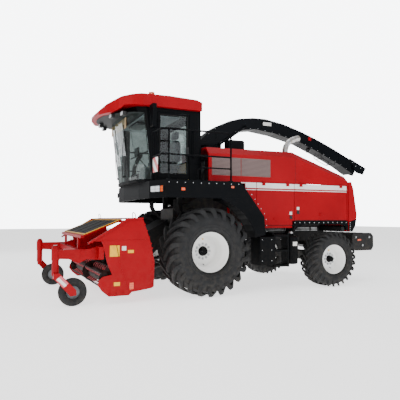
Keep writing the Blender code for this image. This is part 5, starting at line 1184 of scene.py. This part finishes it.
class HARVESTER_OT_header(bpy.types.Operator):
    """Trim the header: flange bolts, blank labels, reflectors, a near-black sheet of painted shade over the crop
    guard's opening, hoops, caster bands and post caps
    """

    bl_idname = "harvester.header"
    bl_label = "Header trim"

    def execute(self, context):
        x = HEADER_X
        rows = (((-2.08, 1.020), (-1.56, 1.330), 9), ((-1.21, 1.30), (-1.10, 0.98), 4),
                ((-1.08, 0.90), (-1.075, 0.30), 6), ((-1.46, 0.185), (-1.80, 0.185), 4))
        heads = [head for start, end, count in rows
                 for head in bolts("x", evenly((x, *start), (x, *end), count), 0.010, 0.008)]
        build("header_bolts", "header", both(heads), "red")
        seam = block((x - 0.001, -1.93, 1.034), (x + 0.004, -1.14, 1.046), 0.0015)
        rib = strip([(x + 0.001, -1.50, 0.24), (x + 0.001, -1.62, 0.62), (x + 0.001, -1.70, 0.98)], (1, 0, 0), 0.004,
                    0.012, 4)
        build("header_side_ribs", "header", both([seam, rib]), "red")
        labels = {"sun": ((-1.80, 0.78, -1.64, 0.96), (-1.50, 0.83, -1.40, 0.88), (-1.73, 0.305, -1.63, 0.365)),
                  "label": ((-1.60, 0.875, -1.53, 0.945),), "orange": ((-1.47, 0.235, -1.40, 0.345),)}
        for look, spots in labels.items():
            parts = [block((x - 0.001, y0, z0), (x + 0.003, y1, z1), 0.001) for y0, z0, y1, z1 in spots]
            build(f"header_{look}_plates", "header", both(parts), look)
        back = [block((-1.47, -1.170, 1.069), (1.47, -1.128, 1.082), 0.003)]
        stiff = [block((px - 0.02, -1.062, 0.28), (px + 0.02, -1.052, 0.98), 0.003) for px in (-1.2, -0.8, 0.8, 1.2)]
        build("header_back_ribs", "header", back + stiff, "red")
        self.guard()
        return {"FINISHED"}

    def guard(self):
        """The crop guard's near-black sheet, painted shade standing for the dark opening over the auger, its yellow
        border, the hoops behind it, and the casters' bands and caps.
        """
        rear, front = np.array((-1.52, 1.3775)), np.array((-2.155, 1.1215))
        length = np.linalg.norm(front - rear)
        way = (front - rear) / length
        up = np.array((way[1], -way[0]))

        def sheet(x0, x1, s0, s1, lift, thick):
            """A flat strip on the guard between two shares of its slope, from x0 to x1."""
            line = rear + way * (np.linspace(s0, s1, 7) * length)[:, None] + up * lift
            points = [np.column_stack([np.full(7, px), line + up * h]) for px, h in
                      ((x0, 0), (x1, 0), (x1, thick), (x0, thick))]
            return skin(np.stack(points, 1))

        # painted shade: this near-black sheet stands for the dark opening over the auger, not a real mat
        build("guard_opening_shade_sheet", "header", [sheet(-1.10, 1.10, 0.04, 0.96, -0.001, 0.006)], "opening_shade")
        border = [sheet(-1.12, 1.12, 0.0, 0.05, 0.0, 0.009), sheet(-1.12, 1.12, 0.93, 0.985, 0.0, 0.009),
                  sheet(-1.12, -1.07, 0.03, 0.95, 0.001, 0.010), sheet(1.07, 1.12, 0.03, 0.95, 0.001, 0.010)]
        build("guard_border", "header", border, "yellow")
        ribs = [sheet(px - 0.012, px + 0.012, 0.05, 0.93, 0.004, 0.006) for px in (-0.56, 0.0, 0.56)]
        build("guard_ribs", "header", ribs, "black")
        hoops = [pipe([(px - 0.09, -1.35, 1.402), (px - 0.085, -1.36, 1.47), (px, -1.37, 1.50),
                       (px + 0.085, -1.36, 1.47), (px + 0.09, -1.35, 1.402)], 0.007, 8, 6) for px in (-1.35, 1.35)]
        rails = [pipe([(-1.47, -1.36, 1.398), (1.47, -1.36, 1.398)], 0.014, 10, 8)]
        build("header_hoops", "header", rails + hoops, "red")
        high = box("caster_left")[1]
        post, arm = np.array((-2.612, 0.50)), np.array((0.257, -0.28))      # the arm's middle line, down from the post
        across = np.array((0.0371, 0.0336))
        inner, outer = high[0] - 0.001, high[0] + 0.0015
        band = skin([[(inner, *(at - across)), (outer, *(at - across)), (outer, *(at + across)),
                      (inner, *(at + across))] for at in (post + arm * 0.10, post + arm * 0.56)])
        cap = lathe([(-0.02, 0.030), (0.006, 0.030), (0.009, 0.026), (0.006, 0.018), (-0.02, 0.018)],
                    (1.30, -2.62, high[2]), "z", 24)
        for side, word in SIDES:
            build(f"caster_band_{word}", f"caster_{word}", on_side([band], side), "reflective")
            build(f"post_cap_{word}", f"caster_{word}", on_side([cap], side), "steel")


# ---------------------------------------------------------------- chassis and engine
class HARVESTER_OT_chassis(bpy.types.Operator):
    """Trim the chassis and engine: clipped lines, hoses, the weight's seams and bolts, and the engine's fittings"""

    bl_idname = "harvester.chassis"
    bl_label = "Chassis and engine"

    def execute(self, context):
        lines = [pipe([(0.475, y, 1.20 - k * 0.03) for y in (-0.10, 0.60, 1.8, 3.2)], 0.010, 8, 6) for k in range(3)]
        build("frame_lines", "chassis", lines, "steel")
        clips = [spread(block((0.458, -0.015, 1.115), (0.49, 0.015, 1.225), 0.004),
                        [(0, y, 0) for y in (0.1, 0.8, 1.6, 2.3, 3.0)])]
        build("frame_clips", "chassis", clips, "rubber")
        hoses = [pipe([(0.62 + 0.07 * k, -0.35, 1.765), (0.62 + 0.07 * k, -0.34, 1.62), (0.58 + 0.05 * k, -0.20, 1.45),
                       (0.52 + 0.03 * k, 0.02, 1.33), (0.455, 0.12 + 0.06 * k, 1.24)], 0.017, 10, 6) for k in range(4)]
        build("cab_hoses", "chassis", both(hoses), "rubber")
        plates = [block((px - 0.006, 3.82, 1.069), (px + 0.006, 4.40, 1.074), 0.001)
                  for px in np.linspace(-0.85, 0.85, 9)]
        build("weight_seams", "chassis", plates, "frame")
        heads = bolts("x", [(0.95, 3.9, 0.98), (0.95, 4.3, 0.98), (0.95, 4.1, 0.80)], 0.018, 0.014)
        build("weight_bolts", "chassis", both(heads), "steel")
        reflector = block((0.949, 3.95, 0.90), (0.958, 4.05, 0.94), 0.003)
        build("weight_reflectors", "chassis", both([reflector]), "orange")
        self.engine()
        return {"FINISHED"}

    def engine(self):
        """Rocker covers and ribs on the engine, its manifolds, and two filters on a shelf at each side."""
        (_, start, _), (x, end, top) = box("engine_block")
        covers = [block((-0.36, y, top - 0.001), (0.36, y + 0.20, top + 0.10), 0.02)
                  for y in np.arange(start + 0.05, end - 0.2, 0.235)]
        ribs = [block((x - 0.001, y, 1.45), (x + 0.02, y + 0.05, 2.02), 0.006)
                for y in np.arange(start + 0.1, end - 0.1, 0.18)]
        build("engine_covers", "chassis", covers + both(ribs), "cast")
        manifold = pipe([(x + 0.06, start + 0.1, 1.86), (x + 0.075, (start + end) / 2, 1.88),
                         (x + 0.06, end - 0.1, 1.86)], 0.045, 14, 8)
        stubs = [pipe([(x - 0.01, y, 1.80), (x + 0.07, y, 1.87)], 0.028, 10, 2)
                 for y in np.arange(start + 0.2, end - 0.1, 0.22)]
        build("engine_manifolds", "chassis", both([manifold] + stubs), "pipe")
        filters = [disc((x + 0.13, start + ahead, 1.45), "z", 0.085, 0, 0.24, 28, 0.015) for ahead in (0.45, 0.75)]
        shelf = block((x - 0.01, start + 0.30, 1.43), (x + 0.22, start + 0.90, 1.452), 0.004)
        build("engine_filters", "chassis", both(filters), "label")
        build("engine_shelf", "chassis", both([shelf]), "frame")


# ---------------------------------------------------------------- stage
class HARVESTER_OT_stage(bpy.types.Operator):
    """Set the stage: a pale floor, soft studio lamps and the camera"""

    bl_idname = "harvester.stage"
    bl_label = "Stage"

    def execute(self, context):
        scene = context.scene
        mesh = bpy.data.meshes.new("floor")
        reach = 60.0
        mesh.from_pydata([(-reach, -reach, 0), (reach, -reach, 0), (reach, reach, 0), (-reach, reach, 0)], [],
                         [(0, 1, 2, 3)])
        mesh.materials.append(finish("floor"))
        floor = bpy.data.objects.new("floor", mesh)
        scene.collection.objects.link(floor)
        world = bpy.data.worlds.new("studio")
        world.use_nodes = True
        scene.world = world
        back = world.node_tree.nodes["Background"]
        back.inputs["Color"].default_value = linear("#F6F8FA")
        rays = add(world.node_tree, "ShaderNodeLightPath").outputs["Is Camera Ray"]
        strength = add(world.node_tree, "ShaderNodeMapRange", {"Value": rays, "To Min": 0.42, "To Max": 8.0})
        world.node_tree.links.new(strength.outputs["Result"], back.inputs["Strength"])
        lamps = (("key", (9.5, -9.0, 8.5), 7.0, 950.0, "#FFFDF8"), ("fill", (12.0, 4.5, 5.5), 8.0, 330.0, "#F4F8FF"),
                 ("top", (0.0, 0.5, 11.0), 9.0, 380.0, "#FFFFFF"), ("left", (-10.0, -6.0, 6.0), 6.0, 260.0, "#F8FAFF"))
        for name, place, size, power, colour in lamps:
            data = bpy.data.lights.new(name, "AREA")
            data.shape, data.size, data.energy = "SQUARE", size, power
            data.color = linear(colour)[:3]
            lamp = bpy.data.objects.new(name, data)
            lamp.location = place
            lamp.rotation_euler = (Vector((0, 0, 1.4)) - Vector(place)).to_track_quat("-Z", "Y").to_euler()
            scene.collection.objects.link(lamp)
        data = bpy.data.cameras.new("camera")
        data.lens, data.sensor_width = 40.95, 36.0
        data.clip_end = 200.0
        camera = bpy.data.objects.new("camera", data)
        camera.location = (8.82, -3.54 + AXLE_Y, 1.39)
        camera.rotation_euler = (math.radians(92.39), 0.0, math.radians(65.46))
        scene.collection.objects.link(camera)
        scene.camera = camera
        return {"FINISHED"}


class HARVESTER_PT_panel(bpy.types.Panel):
    """The machine's settings and the steps that build it"""

    bl_label = "Forage Harvester"
    bl_idname = "HARVESTER_PT_panel"
    bl_space_type = "VIEW_3D"
    bl_region_type = "UI"
    bl_category = "Harvester"

    def draw(self, context):
        column = self.layout.column()
        for name in HARVESTER_looks.__annotations__:
            column.prop(context.scene.harvester_looks, name)
        column.separator()
        for step in STEPS:
            column.operator(step.bl_idname)


STEPS = (HARVESTER_OT_paintwork, HARVESTER_OT_drive_wheels, HARVESTER_OT_rear_wheels, HARVESTER_OT_gauge_wheels,
         HARVESTER_OT_hood, HARVESTER_OT_spout, HARVESTER_OT_cab_inside, HARVESTER_OT_cab_outside,
         HARVESTER_OT_platform, HARVESTER_OT_pickup, HARVESTER_OT_header, HARVESTER_OT_chassis, HARVESTER_OT_stage)


def register():
    """Register the settings, the steps and the panel."""
    for kind in (HARVESTER_looks, *STEPS, HARVESTER_PT_panel):
        bpy.utils.register_class(kind)
    bpy.types.Scene.harvester_looks = PointerProperty(type=HARVESTER_looks)


def unregister():
    """Take them away again."""
    del bpy.types.Scene.harvester_looks
    for kind in reversed((HARVESTER_looks, *STEPS, HARVESTER_PT_panel)):
        bpy.utils.unregister_class(kind)


def main():
    """Register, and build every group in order."""
    register()
    for step in STEPS:
        group, name = step.bl_idname.split(".")
        getattr(getattr(bpy.ops, group), name)()


if __name__ == "__main__":
    main()
